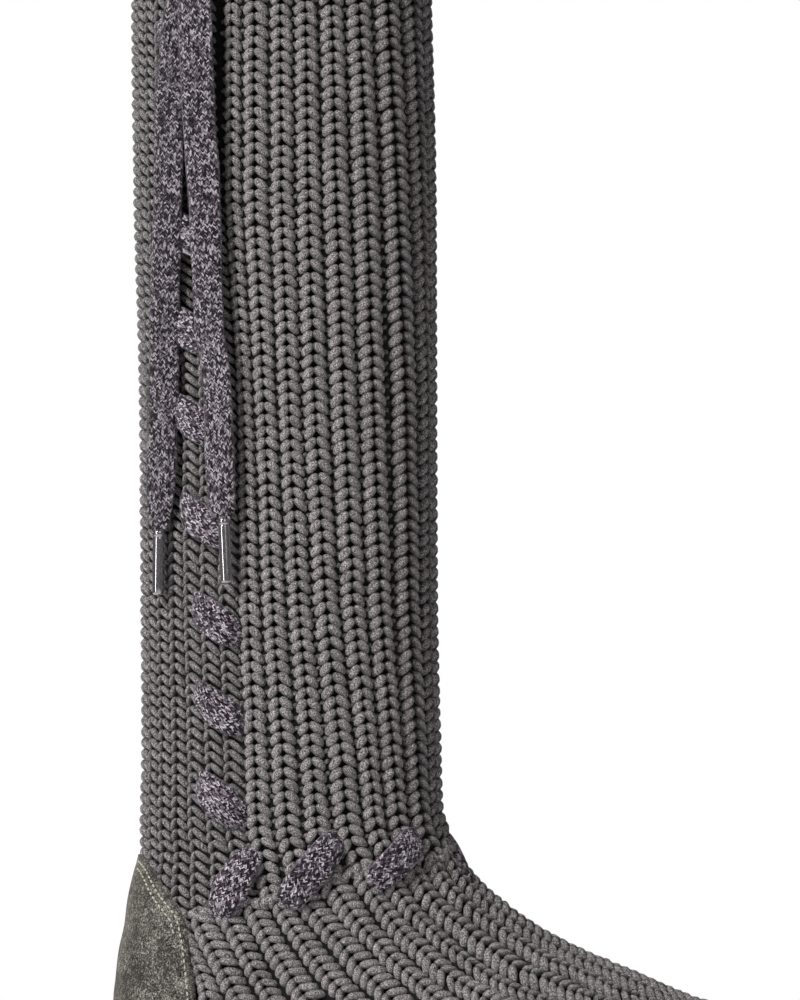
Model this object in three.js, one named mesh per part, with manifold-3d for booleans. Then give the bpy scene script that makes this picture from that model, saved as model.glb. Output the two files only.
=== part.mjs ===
// Knit boot for the right foot: a tall hollow knitted upper on a moulded outsole, with an
// insole, a suede heel counter and a flat lace that is threaded down the outer side of the
// shaft and round the ankle, knotted near the collar with two hanging ends.
// Millimetres, +Z up, toe towards +X, the wearer's outer (lateral) side towards -Y.
import * as THREE from 'three';
import { mergeVertices } from 'three/addons/utils/BufferGeometryUtils.js';
import Module from 'manifold-3d';

const wasm = await Module();
wasm.setup();

// ---------------------------------------------------------------- driving sizes
const WALL = 4.2;            // chunky rib knit, ridge to inner face
const GAP = 0.3;             // between neighbouring pieces
const COLLAR_Z = 466;        // plain knitted edge of the shaft
const FEATHER_Z = 22;        // nominal height of the upper's lower edge
const SPRING_FADE_Z = 60;    // height at which the sole's curve has died out of the upper
const AROUND = 40;           // points round each level of the upper

const COUNTER_OUT = 2.1;     // suede face of the heel counter, above the knit
const SOLE_RIM = 2.8;        // how far the outsole stands out past the upper's lower edge
const INSOLE_THICK = 5;
const GROOVE_DEPTH = 3.2;
const GROOVE_WIDTH = 4;
const GROOVE_EDGE = 7;       // rim left between a groove's end and the sole's side

const LACE_WIDE = 11.6;      // flat lace where it lies open on the knit
const LACE_THICK = 1.6;
const LACE_OUT = 1.7;        // centre of the lace above the knit, on a bar
const LACE_IN = 2.2;         // centre of the lace behind the wall, on a hidden run
const LACE_PINCH = 3.2;      // width where it is drawn together to pass between stitches
const LACE_PINCH_THICK = 2.2;
const SLOT_CLEAR = 0.6;
const END_THICK = 1.4;
const AGLET_LENGTH = 23;
const AGLET_R = 2.2;

// Side view, a row for each level: back and front of the knit, half-width of the shaft,
// how much of the width comes from the shaft rather than the foot, and the lengths over
// which the outline rounds in at the back and at the front.
const LEVELS = [
  { z: 22, back: 5.0, front: 258.5, half: 40.0, shaft: 0.0, backRound: 40, frontRound: 74 },
  { z: 30, back: 2.9, front: 262.5, half: 40.0, shaft: 0.0, backRound: 40, frontRound: 78 },
  { z: 38, back: 2.1, front: 257.5, half: 40.5, shaft: 0.0, backRound: 40, frontRound: 84 },
  { z: 44, back: 2.0, front: 243.5, half: 41.0, shaft: 0.05, backRound: 40, frontRound: 90 },
  { z: 49.4, back: 2.1, front: 224.0, half: 41.5, shaft: 0.12, backRound: 41, frontRound: 96 },
  { z: 58.5, back: 3.2, front: 200.6, half: 41.0, shaft: 0.28, backRound: 42, frontRound: 104 },
  { z: 67.9, back: 4.4, front: 177.7, half: 41.2, shaft: 0.48, backRound: 44, frontRound: 106 },
  { z: 77.4, back: 6.2, front: 160.0, half: 41.4, shaft: 0.68, backRound: 46, frontRound: 98 },
  { z: 86.8, back: 7.4, front: 146.8, half: 41.6, shaft: 0.85, backRound: 50, frontRound: 86 },
  { z: 96.2, back: 9.0, front: 137.0, half: 41.8, shaft: 0.96, backRound: 54, frontRound: 74 },
  { z: 105.7, back: 10.4, front: 130.5, half: 41.8, shaft: 1.0, backRound: 56, frontRound: 64 },
  { z: 115.1, back: 10.2, front: 126.2, half: 41.8, shaft: 1.0, backRound: 56, frontRound: 59 },
  { z: 124.5, back: 10.4, front: 124.6, half: 41.8, shaft: 1.0, backRound: 57, frontRound: 57 },
  { z: 143, back: 10.8, front: 124.0, half: 42.2, shaft: 1.0, backRound: 56, frontRound: 56 },
  { z: 200, back: 10.5, front: 122.7, half: 43.2, shaft: 1.0, backRound: 56, frontRound: 56 },
  { z: 275, back: 9.9, front: 122.4, half: 44.2, shaft: 1.0, backRound: 56, frontRound: 56 },
  { z: 350, back: 7.9, front: 122.2, half: 45.0, shaft: 1.0, backRound: 57, frontRound: 57 },
  { z: 426, back: 7.0, front: 120.5, half: 45.5, shaft: 1.0, backRound: 57, frontRound: 57 },
  { z: 466, back: 7.0, front: 119.8, half: 45.5, shaft: 1.0, backRound: 56, frontRound: 56 },
];

// Plan view of the foot, a row for each station: half-widths to the outer and the inner
// side, and the inward swing of the middle line towards the big toe.
const FOOT = [
  { x: 0, outer: 34.5, inner: 34.5, swing: 0 },
  { x: 45, outer: 35.0, inner: 34.5, swing: 0 },
  { x: 90, outer: 36.0, inner: 31.5, swing: 0 },
  { x: 120, outer: 39.5, inner: 32.5, swing: 0.2 },
  { x: 150, outer: 44.5, inner: 38.5, swing: 1.0 },
  { x: 180, outer: 48.0, inner: 44.5, swing: 2.2 },
  { x: 205, outer: 48.5, inner: 46.0, swing: 4.0 },
  { x: 235, outer: 47.5, inner: 45.0, swing: 8.0 },
  { x: 268, outer: 46.0, inner: 43.0, swing: 12.5 },
];

// Outsole, a row for each station: its upper and lower face. The heel and the forefoot
// stand on one plane, with the arch and the toe spring between and past them.
const SOLE = [
  { x: -4, top: 24.0, bottom: 2.0 },
  { x: 6, top: 24.0, bottom: 0.0 },
  { x: 72, top: 23.4, bottom: 0.0 },
  { x: 106, top: 20.0, bottom: 4.2 },
  { x: 146, top: 17.2, bottom: 0.0 },
  { x: 206, top: 17.4, bottom: 0.0 },
  { x: 235, top: 20.0, bottom: 2.9 },
  { x: 272, top: 25.4, bottom: 10.5 },
];

// Side of the outsole, a row for each edge from the ground up: height share, stand-out.
const SOLE_SIDE = [
  { v: 0.0, out: 0.6 },
  { v: 0.1, out: 1.9 },
  { v: 0.55, out: 3.3 },
  { v: 0.93, out: 3.0 },
  { v: 1.0, out: 2.3 },
];

const HEEL_GROOVES = [22, 36, 50, 64];
const FORE_GROOVES = [152, 165, 178, 191, 204, 217];

// Front edge of the heel counter, seen from the side.
const COUNTER_EDGE = [
  { x: 8.0, z: 105.2 },
  { x: 12.2, z: 103.0 },
  { x: 19.5, z: 92.5 },
  { x: 27.9, z: 81.0 },
  { x: 30.6, z: 65.0 },
  { x: 31.8, z: 49.0 },
  { x: 32.6, z: 10.0 },
];

// Middles of the lace's bars down the outer side of the shaft, from the top, and the
// half-length of a bar, which slants down towards the toe.
const SIDE_BARS = [
  { x: 26.6, z: 408.0 },
  { x: 25.9, z: 373.5 },
  { x: 27.2, z: 338.9 },
  { x: 29.8, z: 301.9 },
  { x: 32.5, z: 267.5 },
  { x: 34.9, z: 230.2 },
  { x: 39.6, z: 193.2 },
  { x: 40.4, z: 160.0 },
  { x: 41.2, z: 126.0 },
];
const BAR_DX = 7.9;
const BAR_DZ = 10.2;

// Bars round the ankle, low end first. side is -1 on the outer side and 1 on the inner.
const ANKLE_BARS = [
  { x0: 40.5, z0: 82.5, side0: -1, x1: 52.8, z1: 105.7, side1: -1 },
  { x0: 64.8, z0: 86.3, side0: -1, x1: 84.5, z1: 111.7, side1: -1 },
  { x0: 98.0, z0: 94.6, side0: -1, x1: 114.4, z1: 113.0, side1: -1 },
  { x0: 134.8, z0: 96.0, side0: -1, x1: 125.2, z1: 115.4, side1: 1 },
  { x0: 113.0, z0: 93.5, side0: 1, x1: 97.0, z1: 113.0, side1: 1 },
  { x0: 80.0, z0: 87.5, side0: 1, x1: 63.0, z1: 109.5, side1: 1 },
];

// Knot near the collar and the routes of the two hanging ends: x and height as seen from
// the side, and how far the middle of the lace stands straight out from the knit.
const KNOT = { x: 29.6, z: 441.5, stand: 7.2 };
const END_FACE = new THREE.Vector3(-0.4, -0.9165, 0);   // both ends hang facing this way
const END_FRONT = [
  { x: 31.2, z: 434.5, stand: 9, wide: 9 },
  { x: 31.5, z: 426.4, stand: 9, wide: 13.4 },
  { x: 33.2, z: 385, stand: 8.6, wide: 13.4 },
  { x: 35.5, z: 344, stand: 7.4, wide: 13 },
  { x: 37.4, z: 302, stand: 6.6, wide: 12.6 },
  { x: 39.4, z: 287.5, stand: 6.4, wide: 12.4 },
  { x: 41.7, z: 240, stand: 6.2, wide: 11.2 },
  { x: 42.15, z: 236, stand: 6.2, wide: 10 },
  { x: 42.5, z: 232.6, stand: 6.2, wide: 8.4 },
  { x: 42.6, z: 229.7, stand: 6.2, wide: 3.6 },
];
const END_REAR = [
  { x: 27.6, z: 434.5, stand: 6.6, wide: 8 },
  { x: 26.4, z: 424, stand: 6.6, wide: 12 },
  { x: 22.1, z: 385, stand: 6.8, wide: 12.4 },
  { x: 21.7, z: 362, stand: 7, wide: 12.4 },
  { x: 20.2, z: 302, stand: 7.2, wide: 12.2 },
  { x: 20, z: 287, stand: 7.2, wide: 12.2 },
  { x: 18.6, z: 239, stand: 7.2, wide: 11.6 },
  { x: 18.4, z: 233, stand: 7.2, wide: 9.8 },
  { x: 18.05, z: 228.4, stand: 7.2, wide: 7.2 },
  { x: 18, z: 225.2, stand: 7.2, wide: 3.6 },
];

// ---------------------------------------------------------------- helpers
const clamp = (v, lo, hi) => Math.min(hi, Math.max(lo, v));
const lerp = (a, b, t) => a + (b - a) * t;

// Monotone cubic through one column of a table, so that level stretches stay level.
function column(rows, by, key, at) {
  const n = rows.length;
  if (at <= rows[0][by]) return rows[0][key];
  if (at >= rows[n - 1][by]) return rows[n - 1][key];
  let i = 0;
  while (at > rows[i + 1][by]) i += 1;
  const h = (k) => rows[k + 1][by] - rows[k][by];
  const d = (k) => (rows[k + 1][key] - rows[k][key]) / h(k);
  const slope = (k) => {
    if (k === 0) return d(0);
    if (k === n - 1) return d(n - 2);
    const a = d(k - 1);
    const b = d(k);
    if (a * b <= 0) return 0;
    const wa = 2 * h(k) + h(k - 1);
    const wb = h(k) + 2 * h(k - 1);
    return (wa + wb) / (wa / a + wb / b);
  };
  const t = (at - rows[i][by]) / h(i);
  const t2 = t * t;
  const t3 = t2 * t;
  return (2 * t3 - 3 * t2 + 1) * rows[i][key] + (t3 - 2 * t2 + t) * h(i) * slope(i)
    + (-2 * t3 + 3 * t2) * rows[i + 1][key] + (t3 - t2) * h(i) * slope(i + 1);
}

const level = (z, key) => column(LEVELS, 'z', key, z);
const foot = (x, key) => column(FOOT, 'x', key, x);
const soleTop = (x) => column(SOLE, 'x', 'top', x);
const soleBottom = (x) => column(SOLE, 'x', 'bottom', x);
const roundIn = (t) => (t >= 1 ? 1 : Math.sqrt(Math.max(0, 1 - (1 - t) * (1 - t))));

// Outer face of the knit. turn is 0 at the toe or shin, PI at the heel, and runs there
// along the outer side; level z is nominal and follows the sole's curve near the feather.
function skin(turn, z) {
  const back = level(z, 'back');
  const front = level(z, 'front');
  const x = (back + front) / 2 + ((front - back) / 2) * Math.cos(turn);
  const share = level(z, 'shaft');
  const outerSide = Math.sin(turn) >= 0;
  const half = lerp(foot(x, outerSide ? 'outer' : 'inner'), level(z, 'half'), share);
  const ease = roundIn((x - back) / level(z, 'backRound')) * roundIn((front - x) / level(z, 'frontRound'));
  const y = foot(x, 'swing') * (1 - share) + (outerSide ? -1 : 1) * half * ease;
  const fade = clamp((SPRING_FADE_Z - z) / (SPRING_FADE_Z - FEATHER_Z), 0, 1);
  return new THREE.Vector3(x, y, z + (soleTop(x) + GAP - FEATHER_Z) * fade);
}

// Unit normal of the knit's outer face, levelled towards the feather edge and the collar.
function skinNormal(turn, z) {
  const dt = 0.012;
  const dz = 0.6;
  const zLo = Math.max(FEATHER_Z, z - dz);
  const zHi = Math.min(COLLAR_Z, z + dz);
  const along = skin(turn + dt, z).sub(skin(turn - dt, z));
  const up = skin(turn, zHi).sub(skin(turn, zLo));
  const n = up.cross(along).normalize();
  n.z *= clamp((z - FEATHER_Z) / 12, 0, 1) * clamp((COLLAR_Z - z) / 12, 0, 1);
  return n.normalize();
}

function skinOffset(turn, z, out) {
  const p = skin(turn, z).addScaledVector(skinNormal(turn, z), out);
  if (z <= FEATHER_Z) p.z = soleTop(p.x) + GAP;
  return p;
}

// The turn at which a level is met at a given x, on the outer (-1) or inner (1) side.
function turnAt(x, z, side) {
  const back = level(z, 'back');
  const front = level(z, 'front');
  const t = Math.acos(clamp((x - (back + front) / 2) / ((front - back) / 2), -1, 1));
  return side < 0 ? t : -t;
}

// Closed body from rings of equal count. ends is 'ring' when the last ring joins the
// first, 'strip' for ends closed across from side to side, 'fan' for small ends.
function body(rings, ends) {
  const n = rings[0].length;
  const pos = [];
  rings.forEach((ring) => ring.forEach((p) => pos.push(p.x, p.y, p.z)));
  const idx = [];
  const quad = (a, b, c, d) => idx.push(a, b, c, a, c, d);
  const spans = ends === 'ring' ? rings.length : rings.length - 1;
  for (let r = 0; r < spans; r += 1) {
    const s = (r + 1) % rings.length;
    for (let i = 0; i < n; i += 1) {
      const j = (i + 1) % n;
      quad(r * n + i, r * n + j, s * n + j, s * n + i);
    }
  }
  const cap = (r, flip) => {
    const o = r * n;
    const tri = (a, b, c) => (flip ? idx.push(o + a, o + c, o + b) : idx.push(o + a, o + b, o + c));
    if (ends === 'strip') {
      for (let i = 0; i < n / 2; i += 1) {
        const a = i;
        const b = i + 1;
        const c = (n - i - 1) % n;
        const d = (n - i) % n;
        if (i === 0) tri(0, c, 1);
        else if (i === n / 2 - 1) tri(a, d, b);
        else { tri(a, d, c); tri(a, c, b); }
      }
    } else {
      for (let i = 1; i < n - 1; i += 1) tri(0, i + 1, i);
    }
  };
  if (ends !== 'ring') {
    cap(0, false);
    cap(rings.length - 1, true);
  }
  const g = new THREE.BufferGeometry();
  g.setAttribute('position', new THREE.Float32BufferAttribute(pos, 3));
  g.setIndex(idx);
  return facingOut(g);
}

function volume(g) {
  const p = g.attributes.position;
  const a = new THREE.Vector3();
  const b = new THREE.Vector3();
  const c = new THREE.Vector3();
  let v = 0;
  for (let i = 0; i < g.index.count; i += 3) {
    a.fromBufferAttribute(p, g.index.getX(i));
    b.fromBufferAttribute(p, g.index.getX(i + 1));
    c.fromBufferAttribute(p, g.index.getX(i + 2));
    v += a.dot(b.cross(c)) / 6;
  }
  return v;
}

function facingOut(g) {
  if (volume(g) < 0) {
    const ix = g.index.array;
    for (let i = 0; i < ix.length; i += 3) {
      const t = ix[i + 1];
      ix[i + 1] = ix[i + 2];
      ix[i + 2] = t;
    }
  }
  return g;
}

function solid(geometry) {
  let g = geometry.clone();
  g.deleteAttribute('normal');
  g.deleteAttribute('uv');
  g = mergeVertices(g, 1e-4);
  return new wasm.Manifold(new wasm.Mesh({
    numProp: 3,
    vertProperties: new Float32Array(g.attributes.position.array),
    triVerts: new Uint32Array(g.index.array),
  }));
}

function geometryOf(manifold) {
  const m = manifold.getMesh();
  const pos = new Float32Array((m.vertProperties.length / m.numProp) * 3);
  for (let i = 0; i < pos.length / 3; i += 1) {
    for (let k = 0; k < 3; k += 1) pos[i * 3 + k] = m.vertProperties[i * m.numProp + k];
  }
  const g = new THREE.BufferGeometry();
  g.setAttribute('position', new THREE.BufferAttribute(pos, 3));
  g.setIndex(Array.from(m.triVerts));
  return g;
}

function ringAt(count, make) {
  return Array.from({ length: count }, (_, i) => make((i / count) * 2 * Math.PI));
}

// ---------------------------------------------------------------- upper
const UPPER_Z = [22, 26, 30, 34, 38, 42, 46, 51, 57, 64, 72, 80, 88, 97, 106, 115, 125, 143,
  185, 240, 300, 360, 415, 464, 466];
const edgeIn = (z) => (z >= COLLAR_Z ? 1.3 : 0);   // the collar's edge is rolled in a little

const outerRings = UPPER_Z.map((z) => ringAt(AROUND, (t) => skinOffset(t, z, -edgeIn(z))));
const innerRings = UPPER_Z.map((z) => ringAt(AROUND, (t) => skinOffset(t, z, edgeIn(z) - WALL)));
let upper = solid(body([...outerRings, ...innerRings.reverse()], 'ring'));

// ---------------------------------------------------------------- lace in the knit
// Route points: turn, level, distance from the knit's outer face, width and thickness.
const route = [];
const push = (turn, z, out, wide, thick) => route.push({ turn, z, out, wide, thick });
function bar(t0, z0, t1, z1, wide) {
  const at = (k) => [lerp(t0, t1, k), lerp(z0, z1, k)];
  push(...at(-0.12), -WALL - LACE_IN, LACE_PINCH, LACE_PINCH_THICK);
  push(...at(0.06), -WALL * 0.45, LACE_PINCH, LACE_PINCH_THICK);
  push(...at(0.24), LACE_OUT, wide * 0.8, LACE_THICK);
  push(...at(0.5), LACE_OUT, wide, LACE_THICK);
  push(...at(0.76), LACE_OUT, wide * 0.8, LACE_THICK);
  push(...at(0.94), -WALL * 0.45, LACE_PINCH, LACE_PINCH_THICK);
  push(...at(1.12), -WALL - LACE_IN, LACE_PINCH, LACE_PINCH_THICK);
}
SIDE_BARS.forEach((b) => {
  const z0 = b.z + BAR_DZ;
  const z1 = b.z - BAR_DZ;
  bar(turnAt(b.x - BAR_DX, z0, -1), z0, turnAt(b.x + BAR_DX, z1, -1), z1, LACE_WIDE);
});
push(turnAt(41.5, 98, -1), 98, -WALL - LACE_IN, LACE_PINCH, LACE_PINCH_THICK);
push(turnAt(35.5, 84, -1), 84, -WALL - LACE_IN, LACE_PINCH, LACE_PINCH_THICK);
ANKLE_BARS.forEach((b) => {
  bar(turnAt(b.x0, b.z0, b.side0), b.z0, turnAt(b.x1, b.z1, b.side1), b.z1, LACE_WIDE);
});

function laceRings(points, steps, grow) {
  const at = new THREE.CatmullRomCurve3(
    points.map((q) => skin(q.turn, q.z).addScaledVector(skinNormal(q.turn, q.z), q.out)),
    false, 'centripetal');
  const n = points.length - 1;
  const rings = [];
  for (let s = 0; s <= steps; s += 1) {
    const u = s / steps;
    const k = Math.min(n - 1, Math.floor(u * n));
    const f = u * n - k;
    const a = points[k];
    const b = points[k + 1];
    const centre = at.getPoint(u);
    const along = at.getTangent(u);
    const normal = skinNormal(lerp(a.turn, b.turn, f), lerp(a.z, b.z, f));
    const across = new THREE.Vector3().crossVectors(normal, along).normalize();
    const face = new THREE.Vector3().crossVectors(along, across).normalize();
    const w = lerp(a.wide, b.wide, f) / 2 + grow;
    const t = lerp(a.thick, b.thick, f) / 2 + grow;
    const c = w - t * 0.7;
    rings.push([[-w, 0], [-c, -t], [c, -t], [w, 0], [c, t], [-c, t]]
      .map(([p, q]) => centre.clone().addScaledVector(across, p).addScaledVector(face, q)));
  }
  return rings;
}
const laceSteps = (route.length - 1) * 2;
const lace = body(laceRings(route, laceSteps, 0), 'fan');
upper = upper.subtract(solid(body(laceRings(route, laceSteps, SLOT_CLEAR), 'fan')));

// ---------------------------------------------------------------- heel counter
const COUNTER_Z = UPPER_Z.filter((z) => z <= 115);
const shell = (out, drop) => {
  const rings = COUNTER_Z.map((z) => ringAt(AROUND, (t) => skinOffset(t, z, out)));
  rings[0].forEach((p) => { p.z -= drop; });
  return solid(body(rings, 'strip'));
};
const edge = new THREE.Shape();
edge.moveTo(-20, 5);
edge.lineTo(COUNTER_EDGE[COUNTER_EDGE.length - 1].x, 5);
for (let i = COUNTER_EDGE.length - 2; i >= 0; i -= 1) edge.lineTo(COUNTER_EDGE[i].x, COUNTER_EDGE[i].z);
edge.lineTo(-20, 105.2);
edge.closePath();
const cutter = new THREE.ExtrudeGeometry(edge, { depth: 120, bevelEnabled: false, curveSegments: 4 });
cutter.rotateX(Math.PI / 2);
cutter.translate(0, 60, 0);
const heelCounter = geometryOf(shell(COUNTER_OUT, 0).subtract(shell(GAP, 4)).intersect(solid(cutter)));

// ---------------------------------------------------------------- outsole and insole
const SOLE_AROUND = 56;
const feather = (t, out) => {
  const p = skin(t, FEATHER_Z);
  const n = skinNormal(t, FEATHER_Z);
  return new THREE.Vector3(p.x + n.x * out, p.y + n.y * out, 0);
};
const soleRings = SOLE_SIDE.map(({ v, out }) => ringAt(SOLE_AROUND, (t) => {
  const p = feather(t, out);
  p.z = lerp(soleBottom(p.x), soleTop(p.x), v);
  return p;
}));
let outsole = solid(body(soleRings, 'strip'));
[...HEEL_GROOVES, ...FORE_GROOVES].forEach((x) => {
  const t = turnAt(x, FEATHER_Z, -1);
  const yOuter = feather(t, 0).y + GROOVE_EDGE;
  const yInner = feather(-t, 0).y - GROOVE_EDGE;
  const floorZ = soleBottom(x);
  const groove = new THREE.BoxGeometry(GROOVE_WIDTH, yInner - yOuter, GROOVE_DEPTH + 4);
  groove.translate(x, (yInner + yOuter) / 2, floorZ + GROOVE_DEPTH - (GROOVE_DEPTH + 4) / 2);
  outsole = outsole.subtract(solid(groove));
});

const insoleRing = (inset, lift) => ringAt(SOLE_AROUND, (t) => {
  const p = feather(t, -WALL - 0.45 - inset);
  p.z = soleTop(p.x) + GAP + lift;
  return p;
});
const insole = body([insoleRing(0, 0), insoleRing(0, INSOLE_THICK - 1), insoleRing(1.2, INSOLE_THICK)], 'strip');

// ---------------------------------------------------------------- knot, ends and aglets
function spotOnSide(q) {
  const p = skin(turnAt(q.x, q.z, -1), q.z);
  p.y -= q.stand;
  return p;
}
function hangingEnd(rows, steps) {
  const at = new THREE.CatmullRomCurve3(rows.map(spotOnSide), false, 'centripetal');
  const n = rows.length - 1;
  const stations = [];
  for (let s = 0; s <= steps; s += 1) stations.push(s / steps);
  const rings = stations.map((u) => {
    const k = Math.min(n - 1, Math.floor(u * n));
    const f = u * n - k;
    const a = rows[k];
    const b = rows[k + 1];
    const centre = at.getPoint(u);
    const along = at.getTangent(u);
    const across = new THREE.Vector3().crossVectors(END_FACE, along).normalize();
    const face = new THREE.Vector3().crossVectors(along, across).normalize();
    const w = lerp(a.wide, b.wide, f) / 2;
    const t = END_THICK / 2;
    return [[-w, 0], [-w + 0.5, -t * 0.8], [-w * 0.5, -t], [w * 0.5, -t], [w - 0.5, -t * 0.8],
      [w, 0], [w * 0.5, t], [-w * 0.5, t]]
      .map(([p, q]) => centre.clone().addScaledVector(across, p).addScaledVector(face, q));
  });
  return { geometry: body(rings, 'fan'), tip: at.getPoint(1), along: at.getTangent(1) };
}
function aglet(end) {
  const r = AGLET_R;
  const g = new THREE.LatheGeometry([
    [0, 0], [r - 0.4, 0], [r, 0.4], [r, AGLET_LENGTH - 0.8], [r - 0.7, AGLET_LENGTH], [0, AGLET_LENGTH],
  ].map(([x, y]) => new THREE.Vector2(x, y)), 12);
  const turn = new THREE.Quaternion().setFromUnitVectors(new THREE.Vector3(0, 1, 0), end.along);
  g.applyQuaternion(turn);
  const start = end.tip.clone().addScaledVector(end.along, GAP);
  g.translate(start.x, start.y, start.z);
  return g;
}
const endFront = hangingEnd(END_FRONT, 18);
const endRear = hangingEnd(END_REAR, 18);
const agletFront = aglet(endFront);
const agletRear = aglet(endRear);

const knotAt = spotOnSide(KNOT);
const knot = new THREE.SphereGeometry(1, 14, 9);
{
  const n = END_FACE.clone().normalize();
  const lift = new THREE.Vector3(0, 0, 1);
  const along = new THREE.Vector3().crossVectors(lift, n).normalize();
  knot.scale(9.2, 5.0, 6.4);
  knot.applyMatrix4(new THREE.Matrix4().makeBasis(along, n, new THREE.Vector3().crossVectors(along, n)));
  knot.translate(knotAt.x, knotAt.y, knotAt.z);
}

// ---------------------------------------------------------------- assembly
const finish = {
  knit: new THREE.MeshStandardMaterial({ color: 0x6a6664, roughness: 0.95, metalness: 0 }),
  suede: new THREE.MeshStandardMaterial({ color: 0x66625a, roughness: 0.9, metalness: 0 }),
  sole: new THREE.MeshStandardMaterial({ color: 0x2f2e2d, roughness: 0.6, metalness: 0 }),
  insole: new THREE.MeshStandardMaterial({ color: 0x8c857c, roughness: 0.9, metalness: 0 }),
  lace: new THREE.MeshStandardMaterial({ color: 0x675c68, roughness: 0.9, metalness: 0 }),
  aglet: new THREE.MeshStandardMaterial({ color: 0x0c0b0c, roughness: 0.15, metalness: 0 }),
};

const boot = new THREE.Group();
function add(name, geometry, material) {
  const mesh = new THREE.Mesh(geometry, material);
  mesh.name = name;
  boot.add(mesh);
  return mesh;
}
add('upper', geometryOf(upper), finish.knit.clone());
add('outsole', geometryOf(outsole), finish.sole.clone());
add('insole', insole, finish.insole.clone());
add('heel_counter', heelCounter, finish.suede.clone());
add('lace_run', lace, finish.lace.clone());

// The origin is on the ground under the middle of the boot's footprint box.
const box = new THREE.Box3().setFromObject(boot);
boot.position.set(-(box.min.x + box.max.x) / 2, -(box.min.y + box.max.y) / 2, 0);

add('lace_knot', knot, finish.lace.clone());
add('lace_end_front', endFront.geometry, finish.lace.clone());
add('lace_end_rear', endRear.geometry, finish.lace.clone());
add('aglet_front', agletFront, finish.aglet.clone());
add('aglet_rear', agletRear, finish.aglet.clone());

export default boot;
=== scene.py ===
import bpy, math
import numpy as np
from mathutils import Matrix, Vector


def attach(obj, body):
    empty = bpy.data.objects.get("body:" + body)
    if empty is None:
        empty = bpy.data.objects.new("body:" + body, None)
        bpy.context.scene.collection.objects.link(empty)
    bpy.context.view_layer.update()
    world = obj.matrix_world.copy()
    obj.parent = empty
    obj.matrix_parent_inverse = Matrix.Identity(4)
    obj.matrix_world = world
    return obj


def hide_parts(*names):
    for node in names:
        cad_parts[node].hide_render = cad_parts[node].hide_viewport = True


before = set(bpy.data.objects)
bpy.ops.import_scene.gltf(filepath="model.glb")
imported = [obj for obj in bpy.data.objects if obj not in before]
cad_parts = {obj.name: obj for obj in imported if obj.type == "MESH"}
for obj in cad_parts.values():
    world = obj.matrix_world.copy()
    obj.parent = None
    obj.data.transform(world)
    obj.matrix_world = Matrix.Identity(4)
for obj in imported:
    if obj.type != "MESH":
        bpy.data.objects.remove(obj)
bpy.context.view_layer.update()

rng = np.random.default_rng(11018)
M = 0.001                                   # the tables below are in millimetres
SX, SY = 131.2069224, 1.3755112             # from the last's own axes to the row frame

# ------------------------------------------------------------------ the last, as in the part
LEVELS = np.array([
    # z, back, front, half, shaft, backRound, frontRound
    [22, 5.0, 258.5, 40.0, 0.0, 40, 74], [30, 2.9, 262.5, 40.0, 0.0, 40, 78],
    [38, 2.1, 257.5, 40.5, 0.0, 40, 84], [44, 2.0, 243.5, 41.0, 0.05, 40, 90],
    [49.4, 2.1, 224.0, 41.5, 0.12, 41, 96], [58.5, 3.2, 200.6, 41.0, 0.28, 42, 104],
    [67.9, 4.4, 177.7, 41.2, 0.48, 44, 106], [77.4, 6.2, 160.0, 41.4, 0.68, 46, 98],
    [86.8, 7.4, 146.8, 41.6, 0.85, 50, 86], [96.2, 9.0, 137.0, 41.8, 0.96, 54, 74],
    [105.7, 10.4, 130.5, 41.8, 1.0, 56, 64], [115.1, 10.2, 126.2, 41.8, 1.0, 56, 59],
    [124.5, 10.4, 124.6, 41.8, 1.0, 57, 57], [143, 10.8, 124.0, 42.2, 1.0, 56, 56],
    [200, 10.5, 122.7, 43.2, 1.0, 56, 56], [275, 9.9, 122.4, 44.2, 1.0, 56, 56],
    [350, 7.9, 122.2, 45.0, 1.0, 57, 57], [426, 7.0, 120.5, 45.5, 1.0, 57, 57],
    [466, 7.0, 119.8, 45.5, 1.0, 56, 56]], float)
FOOT = np.array([
    # x, outer, inner, swing
    [0, 34.5, 34.5, 0], [45, 35.0, 34.5, 0], [90, 36.0, 31.5, 0], [120, 39.5, 32.5, 0.2],
    [150, 44.5, 38.5, 1.0], [180, 48.0, 44.5, 2.2], [205, 48.5, 46.0, 4.0],
    [235, 47.5, 45.0, 8.0], [268, 46.0, 43.0, 12.5]], float)
SOLE = np.array([
    # x, top, bottom
    [-4, 24.0, 2.0], [6, 24.0, 0.0], [72, 23.4, 0.0], [106, 20.0, 4.2], [146, 17.2, 0.0],
    [206, 17.4, 0.0], [235, 20.0, 2.9], [272, 25.4, 10.5]], float)
WALL, GAP, COLLAR_Z, FEATHER_Z, FADE_Z = 4.2, 0.3, 466.0, 22.0, 60.0
COUNTER_OUT = 2.1
COUNTER_EDGE = np.array([[8.0, 105.2], [12.2, 103.0], [19.5, 92.5], [27.9, 81.0], [30.6, 65.0],
                         [31.8, 49.0], [32.6, 10.0]])
SIDE_BARS = np.array([[26.6, 408.0], [25.9, 373.5], [27.2, 338.9], [29.8, 301.9], [32.5, 267.5],
                      [34.9, 230.2], [39.6, 193.2], [40.4, 160.0], [41.2, 126.0]])
BAR_DX, BAR_DZ = 7.9, 10.2
ANKLE_BARS = [(40.5, 82.5, -1, 52.8, 105.7, -1), (64.8, 86.3, -1, 84.5, 111.7, -1),
              (98.0, 94.6, -1, 114.4, 113.0, -1), (134.8, 96.0, -1, 125.2, 115.4, 1),
              (113.0, 93.5, 1, 97.0, 113.0, 1), (80.0, 87.5, 1, 63.0, 109.5, 1)]
KNOT = (29.6, 441.5, 7.2)
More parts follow.
